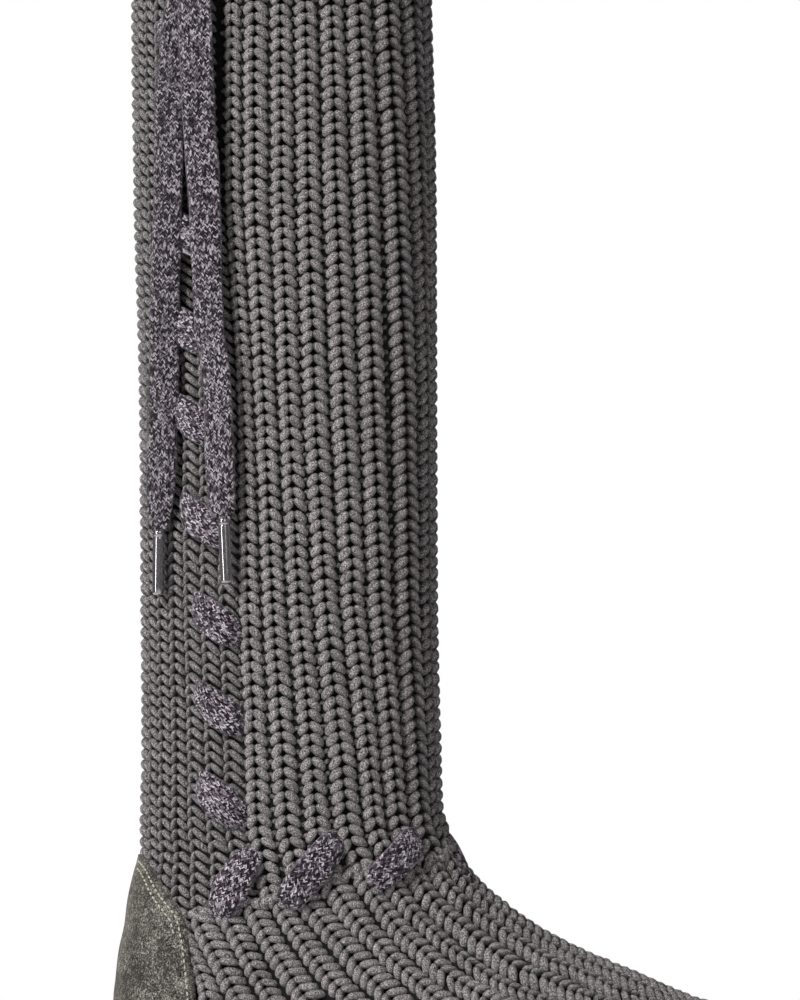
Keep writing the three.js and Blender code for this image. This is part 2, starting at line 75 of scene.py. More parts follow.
# x and height as seen from the side, distance straight out from the knit, width
END_FRONT = np.array([[31.2, 434.5, 9.0, 9.0], [31.5, 426.4, 9.0, 13.4], [33.2, 385.0, 8.6, 13.4],
                      [35.5, 344.0, 7.4, 13.0], [37.4, 302.0, 6.6, 12.6], [39.4, 287.5, 6.4, 12.4],
                      [41.7, 240.0, 6.2, 11.4], [42.15, 236.0, 6.2, 10.2], [42.5, 232.6, 6.2, 8.4],
                      [42.6, 229.7, 6.2, 4.0]])
END_REAR = np.array([[27.6, 434.5, 6.6, 8.0], [26.4, 424.0, 6.6, 12.0], [22.1, 385.0, 6.8, 12.4],
                     [21.7, 362.0, 7.0, 12.4], [20.2, 302.0, 7.2, 12.2], [20.0, 287.0, 7.2, 12.2],
                     [18.6, 239.0, 7.2, 11.8], [18.4, 233.0, 7.2, 10.0], [18.05, 228.4, 7.2, 7.4],
                     [18.0, 225.2, 7.2, 4.0]])
END_FACE = np.array([-0.40, -0.9165, 0.0])      # both ends hang facing this way


def slopes(xs, ys):
    h = np.diff(xs)
    d = np.diff(ys) / h
    m = np.zeros(len(xs))
    m[0], m[-1] = d[0], d[-1]
    for k in range(1, len(xs) - 1):
        a, b = d[k - 1], d[k]
        if a * b > 0:
            wa, wb = 2 * h[k] + h[k - 1], h[k] + 2 * h[k - 1]
            m[k] = (wa + wb) / (wa / a + wb / b)
    return m


class Column:
    """Monotone cubic through one column of a table, so that level stretches stay level."""

    def __init__(self, xs, ys):
        self.x, self.y, self.m = np.asarray(xs, float), np.asarray(ys, float), slopes(np.asarray(xs, float), np.asarray(ys, float))

    def __call__(self, at):
        at = np.clip(np.asarray(at, float), self.x[0], self.x[-1])
        i = np.clip(np.searchsorted(self.x, at, side="right") - 1, 0, len(self.x) - 2)
        h = self.x[i + 1] - self.x[i]
        t = (at - self.x[i]) / h
        t2, t3 = t * t, t * t * t
        return ((2 * t3 - 3 * t2 + 1) * self.y[i] + (t3 - 2 * t2 + t) * h * self.m[i]
                + (-2 * t3 + 3 * t2) * self.y[i + 1] + (t3 - t2) * h * self.m[i + 1])


BACK, FRONT, HALF, SHAFT, BACKR, FRONTR = [Column(LEVELS[:, 0], LEVELS[:, k]) for k in range(1, 7)]
F_OUT, F_IN, F_SWING = [Column(FOOT[:, 0], FOOT[:, k]) for k in range(1, 4)]
SOLE_TOP, SOLE_BOTTOM = [Column(SOLE[:, 0], SOLE[:, k]) for k in (1, 2)]


def round_in(t):
    return np.where(t >= 1, 1.0, np.sqrt(np.maximum(0, 1 - (1 - t) ** 2)))


def skin(turn, z):
    turn, z = np.broadcast_arrays(np.asarray(turn, float), np.asarray(z, float))
    b, f = BACK(z), FRONT(z)
    x = (b + f) / 2 + (f - b) / 2 * np.cos(turn)
    share = SHAFT(z)
    outer = np.sin(turn) >= 0
    wide = np.where(outer, F_OUT(x), F_IN(x))
    half = wide + (HALF(z) - wide) * share
    ease = round_in((x - b) / BACKR(z)) * round_in((f - x) / FRONTR(z))
    y = F_SWING(x) * (1 - share) + np.where(outer, -1, 1) * half * ease
    fade = np.clip((FADE_Z - z) / (FADE_Z - FEATHER_Z), 0, 1)
    zz = z + (SOLE_TOP(x) + GAP - FEATHER_Z) * fade
    return np.stack([x, y, zz], -1)


def unit(v):
    return v / np.maximum(np.linalg.norm(v, axis=-1, keepdims=True), 1e-12)


def normal(turn, z):
    turn, z = np.broadcast_arrays(np.asarray(turn, float), np.asarray(z, float))
    lo, hi = np.maximum(FEATHER_Z, z - 0.6), np.minimum(COLLAR_Z, z + 0.6)
    along = skin(turn + 0.012, z) - skin(turn - 0.012, z)
    up = skin(turn, hi) - skin(turn, lo)
    n = unit(np.cross(up, along))
    n[..., 2] *= np.clip((z - FEATHER_Z) / 12, 0, 1) * np.clip((COLLAR_Z - z) / 12, 0, 1)
    return unit(n)


def turn_at(x, z, side=-1):
    b, f = BACK(z), FRONT(z)
    t = np.arccos(np.clip((x - (b + f) / 2) / ((f - b) / 2), -1, 1))
    return np.where(np.asarray(side) < 0, t, -t)


def nominal(x, z):
    """The level whose skin has the real height z at station x."""
    x, z = np.asarray(x, float), np.asarray(z, float)
    k = (SOLE_TOP(x) + GAP - FEATHER_Z)
    span = FADE_Z - FEATHER_Z
    q = (z - k * FADE_Z / span) / (1 - k / span)
    return np.where(z >= FADE_Z, z, np.clip(q, FEATHER_Z, FADE_Z))


def row(points):
    """Last's own millimetres to the row frame's metres."""
    return (np.asarray(points, float) - np.array([SX, SY, 0.0])) * M


# ------------------------------------------------------------------ meshes
def build(name, V, faces, attrs=None, mat=None, smooth=True):
    """A mesh piece from points in the last's millimetres."""
    me = bpy.data.meshes.new(name)
    V = row(V).reshape(-1, 3)
    me.vertices.add(len(V))
    me.vertices.foreach_set("co", V.astype(np.float32).ravel())
    loops = np.concatenate([np.asarray(f, np.int32).ravel() for f in faces])
    sizes = np.concatenate([np.full(len(f), np.asarray(f).shape[1], np.int32) for f in faces])
    starts = np.concatenate([[0], np.cumsum(sizes)[:-1]]).astype(np.int32)
    me.loops.add(len(loops))
    me.loops.foreach_set("vertex_index", loops)
    me.polygons.add(len(sizes))
    me.polygons.foreach_set("loop_start", starts)
    me.update(calc_edges=True)
    for key, val in (attrs or {}).items():
        val = np.asarray(val, np.float32)
        if val.ndim == 2:
            a = me.attributes.new(key, "FLOAT_VECTOR", "POINT")
            a.data.foreach_set("vector", val.ravel())
        else:
            a = me.attributes.new(key, "FLOAT", "POINT")
            a.data.foreach_set("value", val.ravel())
    if smooth:
        me.shade_smooth()
    me.validate()
    ob = bpy.data.objects.new(name, me)
    bpy.context.scene.collection.objects.link(ob)
    if mat is not None:
        me.materials.append(mat)
    return ob


def grid_faces(rows, cols, wrap_c=False, wrap_r=False, flip=False):
    r = np.arange(rows if wrap_r else rows - 1)
    c = np.arange(cols if wrap_c else cols - 1)
    R, C = np.meshgrid(r, c, indexing="ij")
    R2, C2 = (R + 1) % rows, (C + 1) % cols
    f = np.stack([R * cols + C, R * cols + C2, R2 * cols + C2, R2 * cols + C], -1).reshape(-1, 4)
    return f[:, ::-1] if flip else f


def resample(path, count=None, step=None):
    path = np.asarray(path, float)
    seg = np.linalg.norm(np.diff(path, axis=0), axis=1)
    s = np.concatenate([[0], np.cumsum(seg)])
    if count is None:
        count = max(2, int(round(s[-1] / step)) + 1)
    at = np.linspace(0, s[-1], count)
    return np.stack([np.interp(at, s, path[:, k]) for k in range(path.shape[1])], -1)


def smooth_path(points, count):
    """Centripetal Catmull-Rom through points, evenly spaced; works on any number of columns."""
    P = np.asarray(points, float)
    P = np.vstack([2 * P[0] - P[1], P, 2 * P[-1] - P[-2]])
    out = []
    for i in range(1, len(P) - 2):
        p0, p1, p2, p3 = P[i - 1:i + 3]
        t0 = 0.0
        t1 = t0 + max(1e-6, np.linalg.norm((p1 - p0)[:3]) ** 0.5)
        t2 = t1 + max(1e-6, np.linalg.norm((p2 - p1)[:3]) ** 0.5)
        t3 = t2 + max(1e-6, np.linalg.norm((p3 - p2)[:3]) ** 0.5)
        t = np.linspace(t1, t2, 24, endpoint=False)[:, None]
        a1 = (t1 - t) / (t1 - t0) * p0 + (t - t0) / (t1 - t0) * p1
        a2 = (t2 - t) / (t2 - t1) * p1 + (t - t1) / (t2 - t1) * p2
        a3 = (t3 - t) / (t3 - t2) * p2 + (t - t2) / (t3 - t2) * p3
        b1 = (t2 - t) / (t2 - t0) * a1 + (t - t0) / (t2 - t0) * a2
        b2 = (t3 - t) / (t3 - t1) * a2 + (t - t1) / (t3 - t1) * a3
        out.append((t2 - t) / (t2 - t1) * b1 + (t - t1) / (t2 - t1) * b2)
    out.append(P[-2][None])
    path = np.vstack(out)
    seg = np.linalg.norm(np.diff(path[:, :3], axis=0), axis=1)
    s = np.concatenate([[0], np.cumsum(seg)])
    at = np.linspace(0, s[-1], count)
    return np.stack([np.interp(at, s, path[:, k]) for k in range(path.shape[1])], -1)


# ------------------------------------------------------------------ material helpers
class Nodes:
    def __init__(self, name):
        self.mat = bpy.data.materials.new(name)
        self.mat.use_nodes = True
        self.t = self.mat.node_tree
        self.t.nodes.clear()

    def add(self, kind, ins=None, **props):
        n = self.t.nodes.new("ShaderNode" + kind)
        for k, v in props.items():
            setattr(n, k, v)
        for k, v in (ins or {}).items():
            sock = n.inputs[k]
            if isinstance(v, bpy.types.NodeSocket):
                self.t.links.new(v, sock)
            elif isinstance(v, bpy.types.Node):
                self.t.links.new(v.outputs[0], sock)
            else:
                sock.default_value = v
        return n

    def math(self, op, a, b=0.0, c=None, clamp=False):
        ins = {0: a, 1: b}
        if c is not None:
            ins[2] = c
        n = self.add("Math", ins, operation=op)
        n.use_clamp = clamp
        return n.outputs[0]

    def attr(self, name):
        return self.add("Attribute", attribute_name=name, attribute_type="GEOMETRY")

    def ramp(self, fac, stops, interp="LINEAR"):
        n = self.add("ValToRGB", {0: fac})
        n.color_ramp.interpolation = interp
        e = n.color_ramp.elements
        while len(e) < len(stops):
            e.new(0.5)
        for el, (pos, col) in zip(e, stops):
            el.position = pos
            el.color = (col[0], col[1], col[2], 1) if hasattr(col, "__len__") else (col, col, col, 1)
        return n.outputs[0]

    def mix(self, fac, a, b, blend="MIX"):
        n = self.t.nodes.new("ShaderNodeMix")
        n.data_type = "RGBA"
        n.blend_type = blend
        for sock, v in ((n.inputs[0], fac), (n.inputs[6], a), (n.inputs[7], b)):
            if isinstance(v, bpy.types.NodeSocket):
                self.t.links.new(v, sock)
            elif hasattr(v, "__len__"):
                sock.default_value = (v[0], v[1], v[2], 1)
            else:
                sock.default_value = v
        return n.outputs[2]

    def vec(self, x, y, z):
        return self.add("CombineXYZ", {0: x, 1: y, 2: z}).outputs[0]

    def noise(self, vector, scale, detail=3.0, rough=0.55, distortion=0.0):
        return self.add("TexNoise", {"Vector": vector, "Scale": scale, "Detail": detail,
                                     "Roughness": rough, "Distortion": distortion}).outputs[0]

    def bump(self, height, distance, strength=1.0, under=None):
        ins = {"Strength": strength, "Distance": distance, "Height": height}
        if under is not None:
            ins["Normal"] = under
        return self.add("Bump", ins).outputs[0]

    def out(self, **ins):
        b = self.add("BsdfPrincipled")
        for k, v in ins.items():
            sock = b.inputs[k.replace("_", " ")]
            if isinstance(v, bpy.types.NodeSocket):
                self.t.links.new(v, sock)
            elif hasattr(v, "__len__"):
                sock.default_value = (v[0], v[1], v[2], 1)
            else:
                sock.default_value = v
        o = self.add("OutputMaterial")
        self.t.links.new(b.outputs[0], o.inputs[0])
        return self.mat


def rgb(r, g, b):
    f = lambda c: (c / 255) / 12.92 if c / 255 <= 0.04045 else ((c / 255 + 0.055) / 1.055) ** 2.4
    return (f(r), f(g), f(b))


# Yarn: a grey melange of pale, mid and near-black fibres twisted along each stitch leg.
def yarn_material(name, pale, mid, dark, gain=1.0):
    m = Nodes(name)
    fib = m.add("SeparateXYZ", {0: m.attr("fib").outputs["Vector"]})
    u, v, idn = fib.outputs[0], fib.outputs[1], fib.outputs[2]
    tone = m.attr("tone").outputs["Fac"]
    tw = m.math("ADD", v, m.math("MULTIPLY", u, 0.55))
    shift = m.math("MULTIPLY", idn, 7.31)
    hair = m.noise(m.vec(m.math("MULTIPLY_ADD", u, 0.8, shift), m.math("MULTIPLY", tw, 2.3), shift), 1.9, 4, 0.7)
    fleck = m.noise(m.vec(m.math("MULTIPLY_ADD", u, 1.5, shift), m.math("MULTIPLY", tw, 2.6), shift), 1.6, 3, 0.7, 0.3)
    ply = m.math("SINE", m.math("MULTIPLY", m.math("ADD", m.math("MULTIPLY", v, 1.0), m.math("MULTIPLY", u, 0.9)), 2.9))
    pos = m.add("NewGeometry").outputs["Position"]
    fuzz = m.noise(pos, 1900.0, 2, 0.9)
    k = m.math("ADD", m.math("MULTIPLY", hair, 0.20), m.math("ADD", m.math("MULTIPLY", fleck, 0.22), m.math("MULTIPLY", fuzz, 0.58)))
    col = m.ramp(k, [(0.40, dark), (0.465, [0.45 * a + 0.55 * b for a, b in zip(dark, mid)]), (0.515, mid), (0.59, pale)])
    # the tone attribute scales the colour: random yarn tone together with painted shade in folds, tucked ends, recesses
    # and the back panel
    shade = m.math("MULTIPLY", tone, gain)
    col = m.mix(1.0, col, m.add("CombineColor", {0: shade, 1: shade, 2: shade}).outputs[0], "MULTIPLY")
    h = m.math("ADD", m.math("MULTIPLY", hair, 0.5), m.math("ADD", m.math("MULTIPLY", ply, 0.10), m.math("ADD", m.math("MULTIPLY", fuzz, 0.8), m.math("MULTIPLY", fleck, 0.4))))
    nrm = m.bump(h, 0.0009, 1.0)
    return m.out(Base_Color=col, Roughness=0.93, Normal=nrm, Sheen_Weight=0.22, Sheen_Roughness=0.45,
                 Specular_IOR_Level=0.22)


def base_material(name, outer, inner):
    """The knit's ground behind the ribs, with small purl bumps, its outer colour near-black as painted shade in the
    gaps between ribs, and its paler plain inside.
    """
    m = Nodes(name)
    fib = m.add("SeparateXYZ", {0: m.attr("fib").outputs["Vector"]})
    u, v = fib.outputs[0], fib.outputs[1]
    side = m.attr("tone").outputs["Fac"]
    rowv = m.math("SINE", m.math("MULTIPLY", v, 2 * math.pi / 4.3))
    colu = m.math("SINE", m.math("ADD", m.math("MULTIPLY", u, 2 * math.pi / 4.6), m.math("MULTIPLY", rowv, 0.7)))
    purl = m.math("ADD", m.math("MULTIPLY", rowv, 0.5), m.math("MULTIPLY", m.math("MULTIPLY", rowv, colu), 0.5))
    pos = m.add("NewGeometry").outputs["Position"]
    fuzz = m.noise(pos, 2200.0, 4, 0.7)
    big = m.noise(pos, 420.0, 3, 0.6)
    k = m.math("ADD", m.math("MULTIPLY", big, 0.5), m.math("MULTIPLY", fuzz, 0.5))
    ca = m.ramp(k, [(0.38, [c * 0.35 for c in outer]), (0.62, outer)])
    cb = m.ramp(k, [(0.38, [c * 0.55 for c in inner]), (0.62, inner)])
    col = m.mix(side, ca, cb)
    h = m.math("ADD", m.math("MULTIPLY", purl, 0.9), m.math("MULTIPLY", fuzz, 0.35))
    nrm = m.bump(h, 0.0009, 0.9)
    return m.out(Base_Color=col, Roughness=0.95, Normal=nrm, Sheen_Weight=0.15, Sheen_Roughness=0.5,
                 Specular_IOR_Level=0.2)


def lace_material(name, gain=1.0):
    """Flat woven lace: narrow columns of slanting picks, lilac white to near-black, as a fine
    herringbone."""
    m = Nodes(name)
    fib = m.add("SeparateXYZ", {0: m.attr("fib").outputs["Vector"]})
    u, v, share = fib.outputs[0], fib.outputs[1], fib.outputs[2]   # along mm, across mm, -1..1
    pos = m.add("NewGeometry").outputs["Position"]
    wob = m.math("MULTIPLY_ADD", m.noise(pos, 620.0, 2, 0.6), 1.5, -0.75)
    wob2 = m.math("MULTIPLY_ADD", m.noise(pos, 540.0, 2, 0.6), 1.1, -0.55)
    vv = m.math("MULTIPLY", m.math("ADD", v, wob2), 1 / 0.88)
    column = m.math("FLOOR", vv)
    fv = m.math("SUBTRACT", vv, column)
    lean = m.math("PINGPONG", m.math("ADD", v, wob2), 0.88)
    b = m.math("MULTIPLY", m.math("SUBTRACT", m.math("ADD", u, wob), m.math("MULTIPLY", lean, 0.95)), 1 / 0.70)
    pick = m.math("FLOOR", b)
    fb = m.math("SUBTRACT", m.math("SUBTRACT", b, pick), 0.5)
    wn = m.add("TexWhiteNoise", {0: m.vec(column, pick, 3.0)}, noise_dimensions="3D").outputs[0]
    across = m.math("SUBTRACT", 1.0, m.math("MULTIPLY", m.math("MULTIPLY", fb, fb), 4.0))
    fc = m.math("SUBTRACT", m.math("MULTIPLY", fv, 2.0), 1.0)
    fc2 = m.math("MULTIPLY", fc, fc)
    along = m.math("SUBTRACT", 1.0, m.math("MULTIPLY", fc2, fc2))
    grain = m.math("MULTIPLY", across, along)
    fuzz = m.noise(pos, 2100.0, 3, 0.85)
    cloud = m.noise(pos, 240.0, 2, 0.5)
    k = m.math("ADD", m.math("MULTIPLY", wn, 0.46), m.math("ADD", m.math("MULTIPLY", fuzz, 0.50), m.math("MULTIPLY", cloud, 0.10)))
    col = m.ramp(k, [(0.35, rgb(12, 7, 12)), (0.44, rgb(42, 34, 42)), (0.54, rgb(90, 78, 89)),
                     (0.65, rgb(156, 144, 155)), (0.75, rgb(232, 222, 231))])
    # painted shade: each pick's colour darkens toward its edges, down to 0.30, for the shade between picks
    deep = m.ramp(grain, [(0.0, 0.30), (0.3, 0.72), (0.6, 1.0)])
    col = m.mix(1.0, col, deep, "MULTIPLY")
    edge = m.math("SUBTRACT", m.math("ABSOLUTE", share), 0.90)
    edge = m.math("MULTIPLY", edge, 16.0, clamp=True)
    col = m.mix(m.math("MULTIPLY", edge, 0.32), col, rgb(164, 152, 163))
    col = m.mix(1.0, col, (gain, gain, gain), "MULTIPLY")
    h = m.math("ADD", m.math("MULTIPLY", grain, 0.6), m.math("MULTIPLY", fuzz, 0.6))
    nrm = m.bump(h, 0.0005, 0.9)
    return m.out(Base_Color=col, Roughness=0.88, Normal=nrm, Sheen_Weight=0.12, Sheen_Roughness=0.4,
                 Specular_IOR_Level=0.2)


def suede_material(name):
    m = Nodes(name)
    pos = m.add("NewGeometry").outputs["Position"]
    nap = m.noise(pos, 1500.0, 4, 0.85)
    clump = m.noise(pos, 520.0, 4, 0.6, 0.8)
    patch = m.noise(pos, 75.0, 3, 0.5, 0.6)
    k = m.math("ADD", m.math("MULTIPLY", nap, 0.66), m.math("ADD", m.math("MULTIPLY", clump, 0.2), m.math("MULTIPLY", patch, 0.14)))
    col = m.ramp(k, [(0.43, rgb(14, 13, 12)), (0.485, rgb(58, 56, 52)), (0.535, rgb(98, 95, 90)), (0.60, rgb(176, 171, 162))])
    fine = m.noise(pos, 3600.0, 4, 0.7)
    h = m.math("ADD", m.math("MULTIPLY", nap, 0.6), m.math("ADD", m.math("MULTIPLY", clump, 0.5), m.math("MULTIPLY", fine, 0.3)))
    nrm = m.bump(h, 0.00042, 0.8)
    return m.out(Base_Color=col, Roughness=0.9, Normal=nrm, Sheen_Weight=0.35, Sheen_Roughness=0.35,
                 Sheen_Tint=rgb(200, 194, 180), Specular_IOR_Level=0.2)


def thread_material(name):
    m = Nodes(name)
    pos = m.add("NewGeometry").outputs["Position"]
    f = m.noise(pos, 2400.0, 4, 0.7)
    col = m.ramp(f, [(0.36, rgb(150, 143, 128)), (0.6, rgb(212, 205, 190))])
    fib = m.add("SeparateXYZ", {0: m.attr("fib").outputs["Vector"]})
    tw = m.math("SINE", m.math("MULTIPLY", m.math("ADD", fib.outputs[0], fib.outputs[1]), 9.0))
    nrm = m.bump(m.math("ADD", m.math("MULTIPLY", tw, 0.4), f), 0.00012, 0.8)
    return m.out(Base_Color=col, Roughness=0.7, Normal=nrm, Specular_IOR_Level=0.3)


def aglet_material(name):
    m = Nodes(name)
    pos = m.add("NewGeometry").outputs["Position"]
    wear = m.noise(pos, 900.0, 5, 0.65)
    col = m.ramp(wear, [(0.35, rgb(156, 153, 156)), (0.7, rgb(176, 172, 176))])
    rough = m.ramp(m.noise(pos, 260.0, 4, 0.6), [(0.35, 0.12), (0.7, 0.16)])
    nrm = m.bump(wear, 0.00004, 0.5)
    return m.out(Base_Color=col, Roughness=rough, Metallic=0.9, Normal=nrm, Coat_Weight=1.0, Coat_Roughness=0.16,
                 Specular_IOR_Level=0.55)


def rubber_material(name):
    m = Nodes(name)
    pos = m.add("NewGeometry").outputs["Position"]
    grain = m.noise(pos, 1700.0, 5, 0.65)
    cell = m.add("TexVoronoi", {"Vector": pos, "Scale": 900.0}).outputs[0]
    patch = m.noise(pos, 60.0, 4, 0.6)
    col = m.ramp(patch, [(0.3, rgb(36, 34, 33)), (0.7, rgb(56, 53, 51))])
    xyz = m.add("SeparateXYZ", {0: pos})
    dust = m.math("MULTIPLY", m.math("SUBTRACT", 0.012, xyz.outputs[2]), 60.0, clamp=True)
    col = m.mix(m.math("MULTIPLY", dust, m.math("MULTIPLY", patch, 0.5)), col, rgb(104, 98, 90))
    rough = m.ramp(grain, [(0.3, 0.5), (0.7, 0.72)])
    # fine level ridges round the side
    ridge = m.math("SINE", m.math("MULTIPLY", xyz.outputs[2], 2 * math.pi / 0.0021))
    n = m.add("NewGeometry").outputs["Normal"]
    nz = m.math("ABSOLUTE", m.add("SeparateXYZ", {0: n}).outputs[2])
    side = m.math("SUBTRACT", 1.0, m.math("MULTIPLY", nz, 1.6), clamp=True)
    h = m.math("ADD", m.math("MULTIPLY", grain, 0.5), m.math("ADD", m.math("MULTIPLY", cell, 0.4), m.math("MULTIPLY", m.math("MULTIPLY", ridge, side), 0.5)))
    nrm = m.bump(h, 0.0004, 0.7)
    return m.out(Base_Color=col, Roughness=rough, Normal=nrm, Specular_IOR_Level=0.4)


def felt_material(name):
    m = Nodes(name)
    pos = m.add("NewGeometry").outputs["Position"]
    a = m.noise(pos, 1900.0, 6, 0.75, 0.6)
    b = m.noise(pos, 260.0, 3, 0.6)
    k = m.math("ADD", m.math("MULTIPLY", a, 0.6), m.math("MULTIPLY", b, 0.4))
    col = m.ramp(k, [(0.36, rgb(104, 97, 88)), (0.52, rgb(146, 138, 126)), (0.66, rgb(178, 170, 158))])
    nrm = m.bump(a, 0.0006, 0.8)
    return m.out(Base_Color=col, Roughness=0.95, Normal=nrm, Sheen_Weight=0.3, Sheen_Roughness=0.5,
                 Specular_IOR_Level=0.15)


# ------------------------------------------------------------------ camera
cam = bpy.data.cameras.new("camera")
cam_ob = bpy.data.objects.new("camera", cam)
bpy.context.scene.collection.objects.link(cam_ob)
DIST = 4.0
cam.sensor_width = 36
cam.lens = 36 * DIST / (1000 / 2.65 * M)
cam.clip_start, cam.clip_end = 0.05, 60
cam_ob.location = ((108.3 - SX) * M, -DIST, 237.7 * M)
cam_ob.rotation_euler = (math.radians(90), 0, 0)
bpy.context.scene.camera = cam_ob

knit_pale, knit_mid, knit_dark = rgb(244, 235, 235), rgb(146, 139, 139), rgb(30, 26, 27)
M_KNIT = yarn_material("knit_yarn", knit_pale, knit_mid, knit_dark)
# painted shade: the outer ground's near-black colour stands for the shade in the gaps between ribs
M_BASE = base_material("knit_ground", rgb(22, 20, 20), rgb(134, 129, 128))
M_LACE = lace_material("lace_weave", 0.97)
# painted shade: the hanging ends and the knot take the same lace darkened to 0.73
M_LACE_END_SHADED = lace_material("lace_end_weave_shaded", 0.73)
M_LACE_REAR_SHADED = lace_material("lace_rear_weave_shaded", 0.62)   # painted shade: the rear end lies in the front one's shade, so its lace is darkened to 0.62
M_SUEDE = suede_material("counter_suede")
M_THREAD = thread_material("counter_thread")
M_AGLET = aglet_material("aglet_gloss")
M_RUBBER = rubber_material("sole_rubber")
M_FELT = felt_material("insole_felt")


# ------------------------------------------------------------------ flat lace
def band(name, rows_, mat, dome=0.35, caps=True, edge_wave=0.0):
    """A flat woven band. rows_ is (n, 11): centre, across, face, width, thickness."""
    n = len(rows_)
    C, A, Fz = rows_[:, 0:3], rows_[:, 3:6], rows_[:, 6:9]
    w, t = rows_[:, 9] / 2, rows_[:, 10] / 2
    q = np.concatenate([np.linspace(-1, 1, 17), np.linspace(1, -1, 9)[1:-1]])
    top = np.array([1.0] * 17 + [-1.0] * 7)
    prof = np.sqrt(np.maximum(0, 1 - np.abs(q) ** 4.0))
    lift = dome * (1 - q * q)
    sub = 0.12 * np.cos(q * math.pi * 4) * np.where(np.abs(q) < 0.9, 1, 0) * 0.35
    seg = np.linalg.norm(np.diff(C, axis=0), axis=1)
    s = np.concatenate([[0], np.cumsum(seg)])
    V = (C[:, None, :] + A[:, None, :] * (w[:, None] * q[None, :])[..., None]
         + Fz[:, None, :] * ((t[:, None] * (prof * top)[None, :]) + np.minimum(w, 4)[:, None] * 0.1 * (lift + sub)[None, :] * 2.2)[..., None])
    cols = len(q)
    faces = [grid_faces(n, cols, wrap_c=True)]
    fib = np.stack([np.repeat(s, cols), (w[:, None] * q[None, :]).ravel(), np.tile(q, n)], -1)
    V = V.reshape(-1, 3)
    if caps:
        V = np.vstack([V, C[:1], C[-1:]])
        fib = np.vstack([fib, [[s[0], 0, 0], [s[-1], 0, 0]]])
        a, b = len(V) - 2, len(V) - 1
        i = np.arange(cols)
        j = (i + 1) % cols
        faces.append(np.stack([np.full(cols, a), j, i], -1))
        last = (n - 1) * cols
        faces.append(np.stack([np.full(cols, b), last + i, last + j], -1))
    ob = build(name, V, faces, {"fib": fib}, mat)
    return ob


def end_rows(table, count, seed, bow):
    """Rings of a hanging end from its side-view table."""
    P = skin(turn_at(table[:, 0], table[:, 1]), table[:, 1])
    P[:, 1] -= table[:, 2]
    full = smooth_path(np.hstack([P, table[:, [0, 1, 3]]]), count)
    C = full[:, :3]
    T = unit(np.gradient(C, axis=0))
    N = np.broadcast_to(END_FACE, C.shape)
    A = unit(np.cross(N, T))
    Fz = unit(np.cross(T, A))
    s = np.linspace(0, 1, count)
    r = np.random.default_rng(seed)
    ripple = 0.30 * np.sin(2 * math.pi * (2.3 * s + r.random())) + 0.18 * np.sin(2 * math.pi * (5.1 * s + r.random()))
    wide = full[:, 5] * (1 + 0.018 * np.sin(2 * math.pi * (7.7 * s + r.random())))
    lean = 0.10 * np.sin(2 * math.pi * (1.4 * s + r.random())) * bow
    A2 = unit(A * np.cos(lean)[:, None] + Fz * np.sin(lean)[:, None])
    F2 = unit(np.cross(T, A2))
    C = C + Fz * (ripple * np.clip(np.minimum(s, 1 - s) * 8, 0, 1))[:, None]
    return np.hstack([C, A2, F2, wide[:, None], np.full((count, 1), 1.5)])


def lathe(name, base, axis, rings, mat, around=28):
    axis = unit(np.asarray(axis, float))
    ref = np.array([0.0, 1.0, 0.0])
    a = unit(np.cross(axis, ref))
    b = np.cross(axis, a)
    ph = np.linspace(0, 2 * math.pi, around, endpoint=False)
    V, fib = [], []
    for h, r in rings:
        V.append(base + axis * h + r * (np.cos(ph)[:, None] * a + np.sin(ph)[:, None] * b))
    V = np.vstack(V)
    V = np.vstack([V, base + axis * rings[0][0], base + axis * rings[-1][0]])
    n = len(rings)
    i = np.arange(around)
    j = (i + 1) % around
    faces = [grid_faces(n, around, wrap_c=True),
             np.stack([np.full(around, len(V) - 2), j, i], -1),
             np.stack([np.full(around, len(V) - 1), (n - 1) * around + i, (n - 1) * around + j], -1)]
    return build(name, V, faces, {}, mat)


def aglet_rings(length, r):
    out = [(0.0, r - 0.35), (0.12, r - 0.1), (0.35, r), (2.0, r), (2.25, r - 0.12), (2.6, r - 0.12), (2.85, r)]
    for h in np.linspace(3.2, length - 1.0, 9):
        out.append((h, r * (1 - 0.04 * (h / length) ** 2)))
    out += [(length - 0.55, r * 0.93), (length - 0.22, r * 0.82), (length, r * 0.62)]
    return out


front_rows = end_rows(END_FRONT, 170, 5, 1.0)
rear_rows = end_rows(END_REAR, 170, 9, 0.6)
end_front = band("lace_front_weave", front_rows, M_LACE_END_SHADED, dome=0.30)
end_rear = band("lace_rear_weave", rear_rows, M_LACE_REAR_SHADED, dome=0.30)
tip_f, tip_r = front_rows[-1, :3], rear_rows[-1, :3]
dir_f = unit(front_rows[-1, :3] - front_rows[-4, :3])
dir_r = unit(rear_rows[-1, :3] - rear_rows[-4, :3])
aglet_f = lathe("aglet_front_tip", tip_f - dir_f * 1.2, dir_f, aglet_rings(24.3, 2.25), M_AGLET)
aglet_r = lathe("aglet_rear_tip", tip_r - dir_r * 1.2, dir_r, aglet_rings(24.3, 2.25), M_AGLET)


# the knot: one flattened turn of the same lace round both ends, pulled snug
kt = float(turn_at(KNOT[0], KNOT[1]))
kc = skin(kt, KNOT[1]) - np.array([0.0, KNOT[2], 0.0])
kn = END_FACE
kup = np.array([0.0, 0.0, 1.0])
kal = unit(np.cross(kup, kn))


